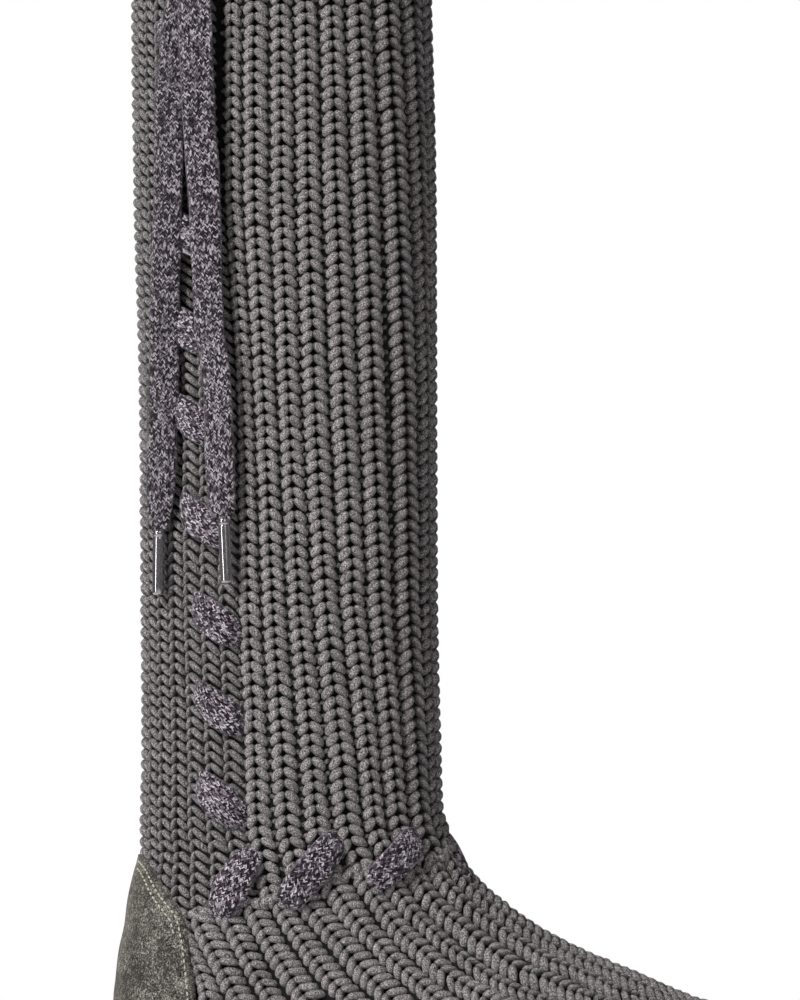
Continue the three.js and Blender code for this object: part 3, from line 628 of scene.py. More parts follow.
def knot_rows():
    th = np.linspace(0, 2 * math.pi, 150)
    a = np.sin(th) + 2 * np.sin(2 * th)
    b = np.cos(th) - 2 * np.cos(2 * th)
    c = -np.sin(3 * th)
    C = kc + (a[:, None] * kal * 2.05 + b[:, None] * kup * 1.5 + c[:, None] * kn * 1.7)
    T = unit(np.gradient(C, axis=0))
    out = unit(C - kc + 0.35 * kn)
    A = unit(np.cross(out, T))
    Fz = unit(np.cross(T, A))
    w = np.full(150, 5.6)
    return np.hstack([C, A, Fz, w[:, None], np.full((150, 1), 1.9)])


knot = band("lace_knot_turns", knot_rows(), M_LACE_END_SHADED, dome=0.25)
for ob, node in ((knot, "lace_knot"), (end_front, "lace_end_front"), (end_rear, "lace_end_rear"),
                 (aglet_f, "aglet_front"), (aglet_r, "aglet_rear")):
    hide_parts(node)
    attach(ob, "root")


# ------------------------------------------------------------------ lace threaded through the knit
def run_rows():
    """Rings of the whole run: centre, across, face, width, thickness. On the shaft the lace goes
    through upright openings, so that a bar's ends are upright and its outline is a leaning leaf."""
    pts = []      # turn, level, out, width, thickness, lean of the width line (0 square, 1 upright)

    def bar(t0, z0, t1, z1, wide, lean, low):
        for k, out, share, thick in ((-0.16, -6.4, 0.30, 2.2), (-0.04, -3.6, 0.55, 2.2), (0.05, -0.6, 0.74, 2.2),
                                     (0.16, 1.5, 0.88, 2.0), (0.30, 2.3, 0.97, 1.9), (0.5, 2.6, 1.0, 1.9),
                                     (0.70, 2.3, 0.97, 1.9), (0.84, 1.5, 0.88, 2.0), (0.95, -0.6, 0.74, 2.2),
                                     (1.04, -3.6, 0.55, 2.2), (1.16, -6.4, 0.30, 2.2)):
            t, z = t0 + (t1 - t0) * k, z0 + (z1 - z0) * k
            pts.append((t, z, out - (low if out > 0 else 0), wide * share, thick, lean))
    for i, (x, z) in enumerate(SIDE_BARS):
        z0, z1 = z + 5.4, z - 5.4
        bar(float(turn_at(x - 8.6, z0)), z0, float(turn_at(x + 8.6, z1)), z1, 15.4 + (1.2 if i == 8 else 0), 1.0, 0)
    for x, z in ((41.5, 98.0), (35.5, 84.0)):
        pts.append((float(turn_at(x, z)), z, -6.4, 3.2, 2.2, 0))
    for i, (x0, z0, s0, x1, z1, s1) in enumerate(ANKLE_BARS):
        bar(float(turn_at(x0, z0, s0)), z0, float(turn_at(x1, z1, s1)), z1, (13.6, 13.2, 12.6, 8.0, 12.6, 13.0)[i], 0.0,
            3.4 if i == 3 else 0)
    return np.array(pts)


rp = run_rows()
rP = skin(rp[:, 0], rp[:, 1]) + normal(rp[:, 0], rp[:, 1]) * rp[:, 2:3]
run = smooth_path(np.hstack([rP, rp[:, [0, 1, 3, 4, 5]]]), 1500)
rC = run[:, :3]
rT = unit(np.gradient(rC, axis=0))
rN = normal(run[:, 3], run[:, 4])
rA = unit(np.cross(rN, rT))
rF = unit(np.cross(rT, rA))
# the across line swings upright on the shaft's bars, kept in the surface
upright = np.broadcast_to(np.array([0.0, 0.0, 1.0]), rN.shape)
upright = unit(upright - rN * (upright * rN).sum(-1, keepdims=True))
upright = upright * np.sign((upright * rA).sum(-1, keepdims=True) + 1e-9)
lean = np.clip(run[:, 7:8], 0, 1) * 0.9
rA = unit(rA * (1 - lean) + upright * lean)
lace_run = band("lace_run_weave", np.hstack([rC, rA, rF, run[:, 5:6], run[:, 6:7]]), M_LACE, dome=0.8)
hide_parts("lace_run")
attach(lace_run, "root")

# ------------------------------------------------------------------ knit stitches
TP_T = np.array([-0.9, -0.55, 0.0, 0.55, 0.9])
TP_N = 8


def lobe_mesh(L):
    """Fat yarn capsules. L has C, A (half axis), B, N (half widths), K (bow), tone, id."""
    C, A, B, N, K = L["C"], L["A"], L["B"], L["N"], L["K"]
    n = len(C)
    ph = np.linspace(0, 2 * math.pi, TP_N, endpoint=False)
    t = np.repeat(TP_T, TP_N)
    f = np.tile(ph, len(TP_T))
    rho = (1 - np.abs(t) ** 2.8) ** 0.5 * (1 - 0.05 * t)
    t = np.concatenate([[-1.0], t, [1.0]])
    f = np.concatenate([[0.0], f, [0.0]])
    rho = np.concatenate([[0.0], rho, [0.0]])
    sq = lambda w: np.sign(w) * np.abs(w) ** 0.78
    V = (C[:, None] + A[:, None] * t[None, :, None] + K[:, None] * (1 - t * t)[None, :, None]
         + (B[:, None] * sq(np.cos(f))[None, :, None] + N[:, None] * sq(np.sin(f))[None, :, None]) * rho[None, :, None])
    la = np.linalg.norm(A, axis=1)
    lb = np.linalg.norm(B, axis=1)
    fib = np.stack([la[:, None] * t[None], lb[:, None] * f[None], np.repeat(L["id"][:, None], len(t), 1)], -1)
    # painted shade: the tone darkens toward the fold between one leg and the next, where no light reaches
    painted_fold_shade = 0.14 + 0.87 * np.maximum(0, np.sin(f)) ** 0.74 + 0.05 * np.cos(f)
    # painted shade: each leg's tone also darkens toward its ends, most at the lower outer end tucked under the next leg
    ends = 1 - 0.48 * np.clip(t, 0, 1) ** 3 - 0.16 * np.clip(-t, 0, 1) ** 3
    tone = L["tone"][:, None] * (painted_fold_shade * ends)[None]
    quads, tris = [], []
    for r in range(len(TP_T) - 1):
        for i in range(TP_N):
            j = (i + 1) % TP_N
            quads.append([1 + r * TP_N + i, 1 + (r + 1) * TP_N + i, 1 + (r + 1) * TP_N + j, 1 + r * TP_N + j])
    last = 1 + (len(TP_T) - 1) * TP_N
    end = len(t) - 1
    for i in range(TP_N):
        j = (i + 1) % TP_N
        tris.append([0, 1 + i, 1 + j])
        tris.append([end, last + j, last + i])
    off = (np.arange(n) * len(t))[:, None, None]
    Q = (np.array(quads)[None] + off).reshape(-1, 4)
    Tr = (np.array(tris)[None] + off).reshape(-1, 3)
    return V.reshape(-1, 3), [Q, Tr], fib.reshape(-1, 3), tone.ravel()


class Lobes:
    def __init__(self):
        self.parts = []

    def add(self, C, A, B, N, K, tone):
        n = len(C)
        z = lambda a: np.broadcast_to(a, (n, 3)).astype(float)
        self.parts.append(dict(C=z(C), A=z(A), B=z(B), N=z(N), K=z(K), tone=np.broadcast_to(tone, (n,)).astype(float)))

    def piece(self, name, nodes=()):
        L = {k: np.concatenate([p[k] for p in self.parts]) for k in self.parts[0]}
        L["id"] = rng.random(len(L["C"])) * 50
        V, F, fib, tone = lobe_mesh(L)
        ob = build(name, V, F, {"fib": fib, "tone": tone}, M_KNIT)
        if nodes:
            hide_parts(*nodes)
        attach(ob, "root")
        return ob


# Proportions of a stitch's two legs, as seen in the photo: half spans across and down the rib,
# half thickness, where the legs part, and how far each one is tucked in.
LEGS = {"rib": dict(apex=0.05, hr=0.250, hl=0.192, vr=2.48, vl=2.50, br=1.84, bl=1.78, cr=1.10, cl=1.14, tilt=0.50, drop=0.95, rn=1.42),
        "braid": dict(apex=0.17, hr=0.350, hl=0.150, vr=3.05, vl=2.75, br=1.52, bl=1.32, cr=0.94, cl=1.0, tilt=0.62, drop=1.20, rn=1.62),
        "column": dict(apex=0.06, hr=0.262, hl=0.214, vr=2.50, vl=2.50, br=1.50, bl=1.46, cr=1.06, cl=1.10, tilt=0.50, drop=1.20, rn=1.66),
        "foot": dict(apex=0.05, hr=0.256, hl=0.226, vr=2.56, vl=2.46, br=1.56, bl=1.66, cr=0.97, cl=0.97, tilt=0.52, drop=1.95, rn=1.54)}


def stitch_rows(lobes, turn, z, Pa, Pb, T, keep=None, gap=1.6, course=4.4, size=1.0, deep=0.0, kind="rib", tone0=1.0):
    """Stitches at (turn, z), one each. Pa and Pb are the rib's borders at the same stations,
    left and right as seen from outside with T up the rib."""
    g = LEGS[kind]
    P, N = skin(turn, z), normal(turn, z)
    T = unit(T - N * (T * N).sum(-1, keepdims=True))
    R = np.cross(T, N)
    W = np.abs(((Pb - Pa) * R).sum(-1))
    Wr = np.clip(W - gap, 3.2, 13.6)[:, None]
    n = len(P)
    if keep is None:
        keep = np.ones(n, bool)
    j = lambda s: rng.normal(0, s, (n, 1))
    scale = (np.clip(Wr / 8.4, 0.72, 1.35)) ** 0.4 * size
    apex = P - R * (g["apex"] * Wr) + R * j(0.11) + T * j(0.13)
    c = course / 4.4
    hr, hl = g["hr"] * Wr * (1 + j(0.03)), g["hl"] * Wr * (1 + j(0.035))
    vr, vl = g["vr"] * c * (1 + j(0.04)), g["vl"] * c * (1 + j(0.04))
    thick, thin = g["br"] * scale * (1 + j(0.03)), g["bl"] * scale * (1 + j(0.03))
    rn = g["rn"] * scale * (1 + j(0.04))
    base = -(0.62 + rn) - deep
    ca, sa = math.cos(g["tilt"]), math.sin(g["tilt"])
    # Each leg lies like a shingle: its lower edge stands over the next leg down.
    A = R * hr - T * vr - N * (g["drop"] * (1 + j(0.12)))
    C = apex + R * hr * g["cr"] - T * vr * 0.88 + N * (base - 0.16)
    D = -unit(np.cross(N, A))
    Na = unit(N - A * ((N * A).sum(-1, keepdims=True) / (A * A).sum(-1, keepdims=True)))
    B = (D * ca + Na * sa) * thick
    F = (Na * ca - D * sa) * rn
    K = N * 0.75 - D * 0.26
    # painted light: the right leg's yarn is painted 3% lighter than the left's
    tone = tone0 * (1 + rng.normal(0, 0.05, n)) * 1.03
    lobes.add(C[keep], A[keep], B[keep], F[keep], K[keep], tone[keep])
    A2 = -R * hl - T * vl - N * (g["drop"] * (1 + j(0.12)))
    C2 = apex - R * hl * g["cl"] - T * vl * 0.86 + N * (base - 0.26 - (0.30 if kind == "braid" else 0.0))
    D2 = unit(np.cross(N, A2))
    Nb = unit(N - A2 * ((N * A2).sum(-1, keepdims=True) / (A2 * A2).sum(-1, keepdims=True)))
    B2 = (D2 * ca + Nb * sa) * thin
    F2 = (Nb * ca - D2 * sa) * rn
    K2 = N * 0.70 - D2 * 0.24
    # painted shade: the left leg's yarn is painted 3% darker than the right's
    tone2 = tone0 * (1 + rng.normal(0, 0.05, n)) * 0.97
    lobes.add(C2[keep], A2[keep], B2[keep], F2[keep], K2[keep], tone2[keep])


def nubs(lobes, turn, z, T, depth=3.3, size=1.0, tone=0.55):
    """Recessed purl bumps in the gap between two ribs, their yarn painted darker as painted shade of the recess."""
    P, N = skin(turn, z), normal(turn, z)
    T = unit(T - N * (T * N).sum(-1, keepdims=True))
    R = np.cross(T, N)
    n = len(P)
    j = lambda s: rng.normal(0, s, (n, 1))
    C = P - N * (depth + j(0.12)) + R * (0.45 + j(0.22)) + T * j(0.2)
    A = (R * 1.35 + T * j(0.35)) * size * (1 + j(0.1))
    B = unit(np.cross(N, A)) * 0.95 * size
    # painted shade: the tone, 0.55 by default, darkens the bumps sunk in the gap
    lobes.add(C, A, B, unit(np.cross(A, B)) * 0.85 * size, N * 0.25, tone * (1 + rng.normal(0, 0.1, n)))


# Rib borders of the shaft, seen from the outer side: x at five heights, from the back
# panel's border to the last rib before the shin.
RIB_Z = np.array([124.5, 200.0, 275.5, 350.9, 426.4])
RIB_X = np.array([
    [49.8, 60.4, 71.7, 82.6, 94.7, 103.4, 112.1, 120.8],
    [47.2, 56.2, 66.0, 75.8, 86.4, 96.6, 106.8, 117.7],
    [46.8, 53.2, 62.3, 71.7, 82.3, 93.6, 104.5, 117.0],
    [41.9, 49.1, 59.6, 69.4, 79.6, 90.9, 102.3, 113.6],
    [42.0, 49.0, 59.6, 68.7, 78.5, 88.3, 98.9, 109.8]])
RIB_T = np.stack([turn_at(RIB_X[i], RIB_Z[i]) for i in range(5)])


def border(k, z):
    """Turn of the k-th rib border on the outer side; 8 and 9 lie round the shin."""
    z = np.asarray(z, float)
    if k <= 7:
        return np.interp(z, RIB_Z, RIB_T[:, k])
    t7 = np.interp(z, RIB_Z, RIB_T[:, 7])
    return t7 * (0.50 if k == 8 else 0.0)


# Where the shaft's ribs end over the foot's, as x to height.
SEAM = np.array([[20, 80], [27.9, 82.3], [46.8, 84.9], [73.6, 94.3], [105.7, 101.9], [127.9, 105.7], [140, 107]])


def seam_z(x):
    return np.interp(x, SEAM[:, 0], SEAM[:, 1])


def up_dir(f_turn, z, d=1.5):
    return skin(f_turn(z + d), z + d) - skin(f_turn(z - d), z - d)


COURSE = 4.4
n_courses = int((463.2 - 74.0) / COURSE)
Zc = 462.6 - COURSE * np.arange(n_courses)
out_ribs, in_ribs, back_out, back_in = Lobes(), Lobes(), Lobes(), Lobes()
for side, store in ((1, out_ribs), (-1, in_ribs)):
    for k in range(9):
        fa = lambda z, k=k: side * border(k, z)
        fb = lambda z, k=k: side * border(k + 1, z)
        fm = lambda z, k=k: side * (border(k, z) + border(k + 1, z)) / 2
        z = Zc + rng.uniform(-0.8, 0.8)
        t = fm(z)
        P = skin(t, z)
        ok = z > seam_z(P[:, 0]) + 1.0
        z, t = z[ok], t[ok]
        left, right = (fa, fb) if side > 0 else (fb, fa)
        stitch_rows(store, t, z, skin(left(z), z), skin(right(z), z), up_dir(fm, z), gap=1.5,
                    tone0=1.0 + rng.normal(0, 0.02))
        zg = z - 2.2
        tg = fa(zg)
        okg = zg > seam_z(skin(tg, zg)[:, 0]) - 2
        nubs(store, tg[okg], zg[okg], up_dir(fa, zg[okg]), depth=3.2 if k else 2.6)

# Back panel: closely set columns right round the heel side.
NB = 15


def back_edges(z):
    """Turns of the back panel's column borders at one height, evenly spaced round the back."""
    t0 = float(border(0, z)) + 0.065 * float(np.clip((z - 330) / 60, 0, 1))
    tt = np.linspace(t0, 2 * math.pi - t0, 121)
    P = skin(tt, np.full(121, z))
    s = np.concatenate([[0], np.cumsum(np.linalg.norm(np.diff(P, axis=0), axis=1))])
    return np.interp(np.linspace(0, s[-1], NB + 1), s, tt)


BZ = np.linspace(70, 466, 45)
BE = np.stack([back_edges(z) for z in BZ])
cb = 4.15
Zb = 462.8 - cb * np.arange(int((462.8 - 76) / cb))
for k in range(NB):
    store = back_out if k < NB / 2 else back_in
    fa = lambda z, k=k: np.interp(z, BZ, BE[:, k])
    fb = lambda z, k=k: np.interp(z, BZ, BE[:, k + 1])
    fm = lambda z, k=k: (fa(z) + fb(z)) / 2
    z = Zb + rng.uniform(-0.7, 0.7)
    t = fm(z)
    x = skin(t, z)[:, 0]
    low = np.where(x < 31, np.interp(x, [8, 12.2, 19.5, 27.9, 31], [98, 96.5, 87, 76, 74]), seam_z(x) + 1)
    ok = z > low
    z, t = z[ok], t[ok]
    # seen from outside the panel's columns run heel side to the left on the outer side
    # painted shade: the back panel's columns take the ribs' yarn at about 0.77 of its tone, darkening the heel side
    # that the lamps light strongly
    stitch_rows(store, t, z, skin(fb(z), z), skin(fa(z), z), up_dir(fm, z), gap=0.7, course=cb, size=0.92,
                kind="braid" if min(k, NB - 1 - k) < 3 else "column", tone0=0.77 + rng.normal(0, 0.02))

# Rounded edge of the collar: a chain of bound-off stitches lying along it.
tt = np.linspace(0, 2 * math.pi, 400)
P = skin(tt, np.full(400, 465.0))
s = np.concatenate([[0], np.cumsum(np.linalg.norm(np.diff(P, axis=0), axis=1))])
chain = np.interp((np.arange(62) + 0.5) / 62 * s[-1], s, tt)
cP, cN = skin(chain, np.full(62, 465.0)), normal(chain, np.full(62, 465.0))
cR = unit(np.cross(np.array([0, 0, 1.0]), cN))
for sg, dep in ((1, -0.9), (-1, -3.1)):
    jj = rng.normal(0, 0.1, (62, 1))
    A = cR * 2.9 + np.array([0, 0, 1.0]) * (0.7 * sg) + cN * (0.5 * sg)
    B = unit(np.cross(cN, A)) * 1.5
    out_ribs.add(cP + cN * dep + np.array([0, 0, -0.4]) + cN * jj, A, B, unit(np.cross(A, B)) * 1.5,
                 np.array([0, 0, 0.35]), 1.0 + rng.normal(0, 0.05, 62))

# ------------------------------------------------------------------ ribs of the foot
# Rib borders on the foot's outer side, x and height, from the counter to the instep.
FOOT_LINES = [
    [(20.5, 86), (27, 70), (30, 60), (31.8, 49), (33, 36), (36, 22)],
    [(27.5, 81), (31.7, 71.3), (35.8, 64.2), (41.1, 53.6), (48.5, 38), (56.5, 22)],
    [(36.5, 84), (41.5, 76.2), (47.2, 66), (52.1, 56.6), (56.6, 49.4), (64, 36), (73, 22)],
    [(47.2, 86.5), (49.8, 81.9), (55.8, 69.8), (61.1, 59.2), (66.8, 49.4), (73.5, 37), (82, 22)],
    [(57, 89.5), (64.2, 76.2), (69.8, 67.5), (76.6, 58.1), (83, 51.3), (95, 37.5), (108, 19)],
    [(64, 92), (70.6, 83), (76.6, 75.5), (83.4, 66.8), (91.7, 56.6), (97.7, 50.6), (110, 37), (124, 18)],
    [(75, 95.5), (79.2, 89.8), (85.3, 81.9), (94.3, 72.5), (102.3, 63.8), (112.5, 53.6), (127, 37), (143, 17)],
    [(89, 98.5), (95.5, 87.9), (101.5, 78.1), (109.8, 69.4), (118.1, 61.1), (126.8, 54.3), (147, 37.5), (168, 17)],
    [(98, 101.5), (102.3, 92.5), (110.6, 82.3), (119.2, 73.6), (127.2, 66.8), (135.1, 60), (145.7, 54.7),
     (158.5, 49.1), (188, 36.5), (216, 19)],
    [(110, 104), (119.6, 83.8), (126, 78.1), (135.1, 69.1), (147.5, 60.8), (161.1, 54), (178.1, 49.1),
     (205, 40.5), (232, 31), (249, 23)],
    [(124.5, 106), (126, 105.3), (135.8, 89.8), (146.8, 78.1), (158.5, 65.7), (171.7, 60.4), (184.5, 54),
     (197.7, 50.2), (221, 43.2), (241, 35.5), (256.5, 25)],
]


def line_tz(line, count=160):
    """A side-view line laid on the surface: its turn and level at even steps."""
    p = np.array(line, float)
    d = np.concatenate([[0], np.cumsum(np.linalg.norm(np.diff(p, axis=0), axis=1))])
    at = np.linspace(0, d[-1], count)
    x = Column(d, p[:, 0])(at) if np.all(np.diff(p[:, 0]) > 0) else np.interp(at, d, p[:, 0])
    z = np.interp(at, d, p[:, 1])
    zn = nominal(x, z)
    t = turn_at(x, zn)
    P = skin(t, zn)
    s = np.concatenate([[0], np.cumsum(np.linalg.norm(np.diff(P, axis=0), axis=1))])
    u = np.linspace(0, s[-1], count)
    return np.stack([np.interp(u, s, t), np.interp(u, s, zn)], -1), s[-1]


curves = [line_tz(l) for l in FOOT_LINES]
top, top_len = curves[-1]
for share in (0.70, 0.36, 0.0):
    c = top.copy()
    c[:, 0] *= share
    P = skin(c[:, 0], c[:, 1])
    s = np.concatenate([[0], np.cumsum(np.linalg.norm(np.diff(P, axis=0), axis=1))])
    u = np.linspace(0, s[-1], len(c))
    curves.append((np.stack([np.interp(u, s, c[:, 0]), np.interp(u, s, c[:, 1])], -1), s[-1]))

# where they start under the shin the front ribs share the width evenly
front = np.stack([c[0] for c in curves[8:]])
even = front.copy()
for i in range(front.shape[1]):
    P = skin(front[:, i, 0], front[:, i, 1])
    d = np.concatenate([[0], np.cumsum(np.linalg.norm(np.diff(P, axis=0), axis=1))])
    at = np.linspace(0, d[-1], len(d))
    even[:, i, 0], even[:, i, 1] = np.interp(at, d, front[:, i, 0]), np.interp(at, d, front[:, i, 1])
w = np.clip((0.42 - np.linspace(0, 1, front.shape[1])) / 0.36, 0, 1)
w = (w * w * (3 - 2 * w))[None, :, None]
front = front * (1 - w) + even * w
for i in range(8, len(curves)):
    P = skin(front[i - 8, :, 0], front[i - 8, :, 1])
    curves[i] = (front[i - 8], float(np.linalg.norm(np.diff(P, axis=0), axis=1).sum()))

FOOT_RIB = 10.4                              # widest a rib of the foot gets
foot_out, foot_in = Lobes(), Lobes()
for side, store in ((1, foot_out), (-1, foot_in)):
    for i in range(len(curves) - 1):
        (a, la), (b, lb) = curves[i], curves[i + 1]
        ln = (la + lb) / 2
        n = int(ln / 3.62)
        u = (np.arange(n) + 0.35 + rng.uniform(-0.15, 0.15)) / n
        g = np.linspace(0, 1, len(a))
        ta, za = np.interp(u, g, a[:, 0]) * side, np.interp(u, g, a[:, 1])
        tb, zb = np.interp(u, g, b[:, 0]) * side, np.interp(u, g, b[:, 1])
        tm, zm = (ta + tb) / 2, (za + zb) / 2
        Pa, Pb = skin(ta, za), skin(tb, zb)
        T = -np.gradient(skin(tm, zm), axis=0)
        wide = np.linalg.norm(np.cross(Pb - Pa, unit(T)), axis=1)
        # where two borders run apart, new ribs start between them once there is room
        tone_i = 1.02 + rng.normal(0, 0.025)
        for part in range(6):
            f0 = np.minimum(1.0, FOOT_RIB * part / wide)
            f1 = np.minimum(1.0, FOOT_RIB * (part + 1) / wide)
            f1 = np.where((1 - f1) * wide < 4.6, 1.0, f1)
            room = (f1 - f0) * wide
            if part and not (room > 4.6).any():
                break
            t0_, z0_ = ta + (tb - ta) * f0, za + (zb - za) * f0
            t1_, z1_ = ta + (tb - ta) * f1, za + (zb - za) * f1
            tc, zc = (t0_ + t1_) / 2, (z0_ + z1_) / 2
            Pc = skin(tc, zc)
            Tc = -np.gradient(Pc, axis=0)
            keep = (room > (4.6 if part else 3.2)) & (Pc[:, 2] > SOLE_TOP(Pc[:, 0]) + 1.2)
            stitch_rows(store, tc, zc, skin(t0_, z0_), skin(t1_, z1_), Tc, keep=keep, gap=0.55, kind="foot", tone0=tone_i)
    # joining course along the ankle, where shaft and foot meet
    sx = np.linspace(31, 124, 25)
    sz = seam_z(sx)
    t = np.concatenate([turn_at(sx, sz), np.linspace(float(turn_at(124, 105.4)), 0.03, 7)[1:]]) * side
    sz = np.concatenate([sz, np.linspace(105.4, 108.0, 7)[1:]])
    sz = sz + rng.normal(0, 0.5, len(sz))
    P, N = skin(t, sz), normal(t, sz)
    T = unit(np.gradient(P, axis=0))
    Bd = unit(np.cross(N, T))
    n = len(P)
    A = T * 2.6 + Bd * rng.normal(0, 1.1, (n, 1)) * 1.0 - N * 0.2
    B = unit(np.cross(N, A)) * 1.8
    store.add(P - N * 1.8 + Bd * rng.normal(0, 0.5, (n, 1)), A, B, unit(np.cross(A, B)) * 1.7, N * 0.4,
              1.0 + rng.normal(0, 0.06, n))

# fibres that stand off the yarn are left to the sheen; the pieces follow
o1 = out_ribs.piece("knit_ribs_outer", ["upper"])
o2 = in_ribs.piece("knit_ribs_inner", ["upper"])
o3 = back_out.piece("knit_back_outer", ["upper"])
o4 = back_in.piece("knit_back_inner", ["upper"])
o5 = foot_out.piece("knit_foot_outer", ["upper"])
o6 = foot_in.piece("knit_foot_inner", ["upper"])

# ------------------------------------------------------------------ knit ground and inside
UZ = np.concatenate([np.linspace(22, 60, 20), np.linspace(62, 130, 35), np.linspace(134, 462, 83), [464.4]])
NU = 168
TU = np.linspace(0, 2 * math.pi, NU, endpoint=False)


def low(z):
    """1 near the sole, 0 from the instep up: there the ground stands closer behind the ribs."""
    t = min(1.0, max(0.0, (50.0 - z) / 14.0))
    return t * t * (3 - 2 * t)


def ground_rings(out, zs):
    V, fib = [], []
    for z in zs:
        zz = np.full(NU, z)
        P = skin(TU, zz)
        N = normal(TU, zz)
        Q = P + N * (out + (0.95 * low(z) if out > -3 else 0.0))
        if z <= FEATHER_Z:
            Q[:, 2] = SOLE_TOP(Q[:, 0]) + GAP
        s = np.concatenate([[0], np.cumsum(np.linalg.norm(np.diff(P, axis=0), axis=1))])
        V.append(Q)
        fib.append(np.stack([s * 322.0 / (s[-1] + 2), np.full(NU, z), np.zeros(NU)], -1))
    return V, fib


Vo, fo = ground_rings(-2.75, UZ)
Vi, fi = ground_rings(-WALL, UZ[::-1])
V = np.vstack(Vo + Vi)
fib = np.vstack(fo + fi)
# the outer side mixes up to 55% toward the pale inside colour near the sole, easing its painted shade there
tone = np.concatenate([np.repeat([0.55 * low(z) for z in UZ], NU), np.ones(len(Vi) * NU)])
rings_n = len(Vo) + len(Vi)
ground = build("knit_ground_wall", V, [grid_faces(rings_n, NU, wrap_c=True, wrap_r=True)],
               {"fib": fib, "tone": tone}, M_BASE)
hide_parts("upper")
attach(ground, "root")

# ------------------------------------------------------------------ heel counter
EDGE_X = Column(COUNTER_EDGE[::-1, 1], COUNTER_EDGE[::-1, 0])
CT = 103.95                                  # height of the counter's top at the heel's middle line


def counter():
    v = np.linspace(0, 1, 64)
    zs = 22 + (CT - 22) * (1 - (1 - v) ** 1.7)
    a = np.linspace(0, 1, 21)
    u = np.concatenate([0.5 * a ** 1.8, 1 - 0.5 * a[::-1][1:] ** 1.8])
    V, D, NN = [], [], []
    for z in zs:
        xe = float(EDGE_X(z))
        t0 = float(turn_at(max(xe, float(BACK(z)) + 0.02), z))
        t = t0 + (2 * math.pi - 2 * t0) * u
        zz = np.full(len(u), z)
        P, N = skin(t, zz), normal(t, zz)
        V.append(P)
        NN.append(N)
    V, NN = np.array(V), np.array(NN)
    # distance to the free edge, along the surface
    edge = np.vstack([V[:, 0], V[::-1, -1]])
    d = np.min(np.linalg.norm(V[:, :, None, :] - edge[None, None], axis=-1), axis=-1)
    bev = np.sqrt(np.maximum(0, 1 - (1 - np.clip(d / 1.1, 0, 1)) ** 2))
    proud = 0.75 + (COUNTER_OUT - 0.75) * np.clip((CT + 1 - V[..., 2]) / 22, 0, 1) ** 0.8
    h = -0.6 + (proud + 0.6) * bev
    # the seam rows press the suede down a little, and it waves softly
    press = 0.22 * (np.exp(-((d - 2.3) / 0.5) ** 2) + np.exp(-((d - 5.0) / 0.5) ** 2) * (V[..., 2] > 74))
    wave = 0.16 * np.sin(V[..., 2] * 0.21 + V[..., 0] * 0.13) * np.clip(d / 6, 0, 1)
    Q = V + NN * (h - press + wave)[..., None]
    low = V[..., 2] < SOLE_TOP(V[..., 0]) + GAP + 0.3
    Q[..., 2] = np.where(low, SOLE_TOP(Q[..., 0]) + GAP, Q[..., 2])
    r, c = Q.shape[:2]
    # a back face, so that the piece is closed
    Qi = V + NN * (-0.9)
    Qi[..., 2] = np.where(low, SOLE_TOP(Qi[..., 0]) + GAP, Qi[..., 2])
    F = [grid_faces(r, c), grid_faces(r, c, flip=True) + r * c]
    rim = [(i, 0) for i in range(r)] + [(r - 1, j) for j in range(1, c)] + [(i, c - 1) for i in range(r - 2, -1, -1)] \
        + [(0, j) for j in range(c - 2, 0, -1)]
    ids = np.array([i * c + j for i, j in rim])
    nxt = np.roll(ids, -1)
    F.append(np.stack([nxt, ids, ids + r * c, nxt + r * c], -1))
    ob = build("counter_suede_panel", np.vstack([Q.reshape(-1, 3), Qi.reshape(-1, 3)]), F, {}, M_SUEDE)
    return ob


counter_ob = counter()
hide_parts("heel_counter")
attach(counter_ob, "root")

# cream stitches, in two rows round the top and one below
def stitch_line(inset, z_lo, skip=0.0):
    """Points on the suede at a distance inside its free edge, outer side up and over."""
    zz = np.concatenate([np.linspace(26, 95, 140), np.linspace(95.2, CT - 0.05, 120)])
    xe = np.maximum(EDGE_X(zz), BACK(zz) + 0.02)
    t = turn_at(xe, zz)
    E = skin(t, zz)
    N = normal(t, zz)
    T = unit(np.gradient(E, axis=0))
    I = -unit(np.cross(T, N))
    Q = E + I * inset
    keep = (Q[:, 1] < SY * 0 - 0.3) & (zz >= z_lo)
    Q = Q[keep]
    z2 = Q[:, 2]
    t2 = turn_at(Q[:, 0], nominal(Q[:, 0], z2))
    zn = nominal(Q[:, 0], z2)
    proud = 0.75 + (COUNTER_OUT - 0.75) * np.clip((CT + 1 - z2) / 22, 0, 1) ** 0.8
    out = skin(t2, zn) + normal(t2, zn) * (proud - 0.10)[:, None]
    return out, normal(t2, zn)


stitches = Lobes()
for inset, z_lo, ph in ((2.3, 26, 0.0), (5.0, 76, 0.5)):
    Q, N = stitch_line(inset, z_lo)
    s = np.concatenate([[0], np.cumsum(np.linalg.norm(np.diff(Q, axis=0), axis=1))])
    pitch = 2.45
    at = (np.arange(int(s[-1] / pitch)) + 0.3 + ph * 0.4) * pitch
    C = np.stack([np.interp(at, s, Q[:, k]) for k in range(3)], -1)
    C2 = np.stack([np.interp(at + 0.3, s, Q[:, k]) for k in range(3)], -1)
    Nn = unit(np.stack([np.interp(at, s, N[:, k]) for k in range(3)], -1))
    T = unit(C2 - C)
    for sy in (1, -1):
        f = np.array([1, sy, 1.0])
        m = (C[:, 1] < -1.0) if sy > 0 else (C[:, 1] < -1.0)
        B = unit(np.cross(Nn, T)) * 0.34
        stitches.add((C * f)[m], (T * 0.78 * f)[m], (B * f)[m], (Nn * 0.34 * f)[m], (Nn * 0.12 * f)[m], 1.0)
L = {k: np.concatenate([p[k] for p in stitches.parts]) for k in stitches.parts[0]}
L["id"] = rng.random(len(L["C"])) * 50
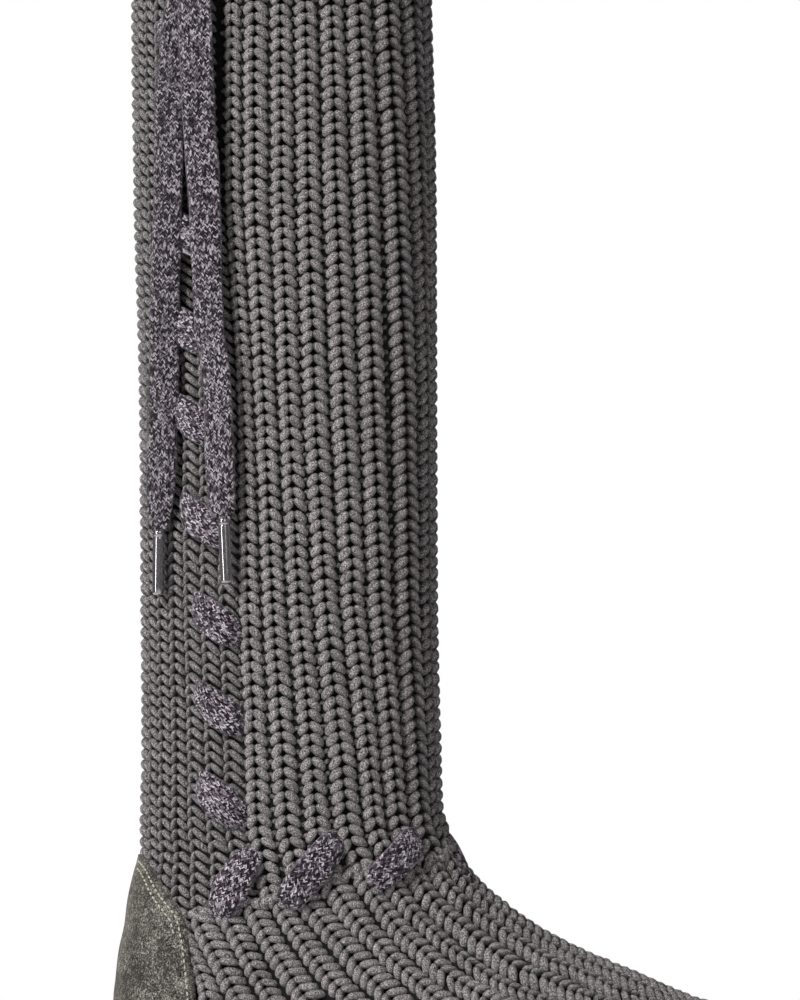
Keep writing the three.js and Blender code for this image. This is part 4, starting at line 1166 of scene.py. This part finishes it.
sV, sF, sfib, stone = lobe_mesh(L)
st_ob = build("counter_stitching", sV, sF, {"fib": sfib}, M_THREAD)
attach(st_ob, "root")

# ------------------------------------------------------------------ carried-over nodes
for node, mat in (("outsole", M_RUBBER), ("insole", M_FELT)):
    ob = bpy.data.objects.get(node)
    ob.data.materials.clear()
    ob.data.materials.append(mat)

# ------------------------------------------------------------------ floor and light
fm = Nodes("floor_pale")
fpos = fm.add("NewGeometry").outputs["Position"]
fcol = fm.ramp(fm.noise(fpos, 14.0, 4, 0.6), [(0.3, (0.86, 0.86, 0.86)), (0.7, (0.9, 0.9, 0.9))])
floor_mat = fm.out(Base_Color=fcol, Roughness=0.75, Normal=fm.bump(fm.noise(fpos, 600.0, 3, 0.6), 0.0002, 0.3), Specular_IOR_Level=0.2)
ph = np.linspace(0, 2 * math.pi, 96, endpoint=False)
me = bpy.data.meshes.new("floor")
R0 = 0.85
me.from_pydata([(R0 * math.cos(a), R0 * math.sin(a), 0.0) for a in ph], [], [list(range(96))])
me.materials.append(floor_mat)
floor = bpy.data.objects.new("floor", me)
bpy.context.scene.collection.objects.link(floor)

world = bpy.data.worlds.new("studio")
bpy.context.scene.world = world
world.use_nodes = True
wn = world.node_tree
bg = wn.nodes["Background"]
bg.inputs[0].default_value = (1.0, 1.0, 1.0, 1)
bg.inputs[1].default_value = 0.11
lp = wn.nodes.new("ShaderNodeLightPath")
bg2 = wn.nodes.new("ShaderNodeBackground")
bg2.inputs[0].default_value = (1, 1, 1, 1)
bg2.inputs[1].default_value = 1.0
mx = wn.nodes.new("ShaderNodeMixShader")
wn.links.new(lp.outputs["Is Camera Ray"], mx.inputs[0])
wn.links.new(bg.outputs[0], mx.inputs[1])
wn.links.new(bg2.outputs[0], mx.inputs[2])
wn.links.new(mx.outputs[0], wn.nodes["World Output"].inputs[0])


def area(name, loc, aim, size, power):
    l = bpy.data.lights.new(name, "AREA")
    l.energy, l.shape, l.size, l.size_y = power, "RECTANGLE", size[0], size[1]
    o = bpy.data.objects.new(name, l)
    o.location = loc
    o.rotation_euler = (Vector(aim) - Vector(loc)).to_track_quat("-Z", "Y").to_euler()
    bpy.context.scene.collection.objects.link(o)
    return o


area("key", (-1.6, -1.95, 1.75), (0, 0, 0.24), (0.7, 0.7), 88)
area("strip", (-1.95, -1.55, 0.35), (0, 0, 0.24), (0.28, 1.4), 12)
area("fill", (0.9, -2.4, 0.8), (0, 0, 0.22), (1.0, 1.0), 5)
area("rim", (-0.2, 1.9, 1.5), (0, 0, 0.25), (1.2, 0.8), 26)
bpy.context.scene.view_settings.view_transform = "Standard"
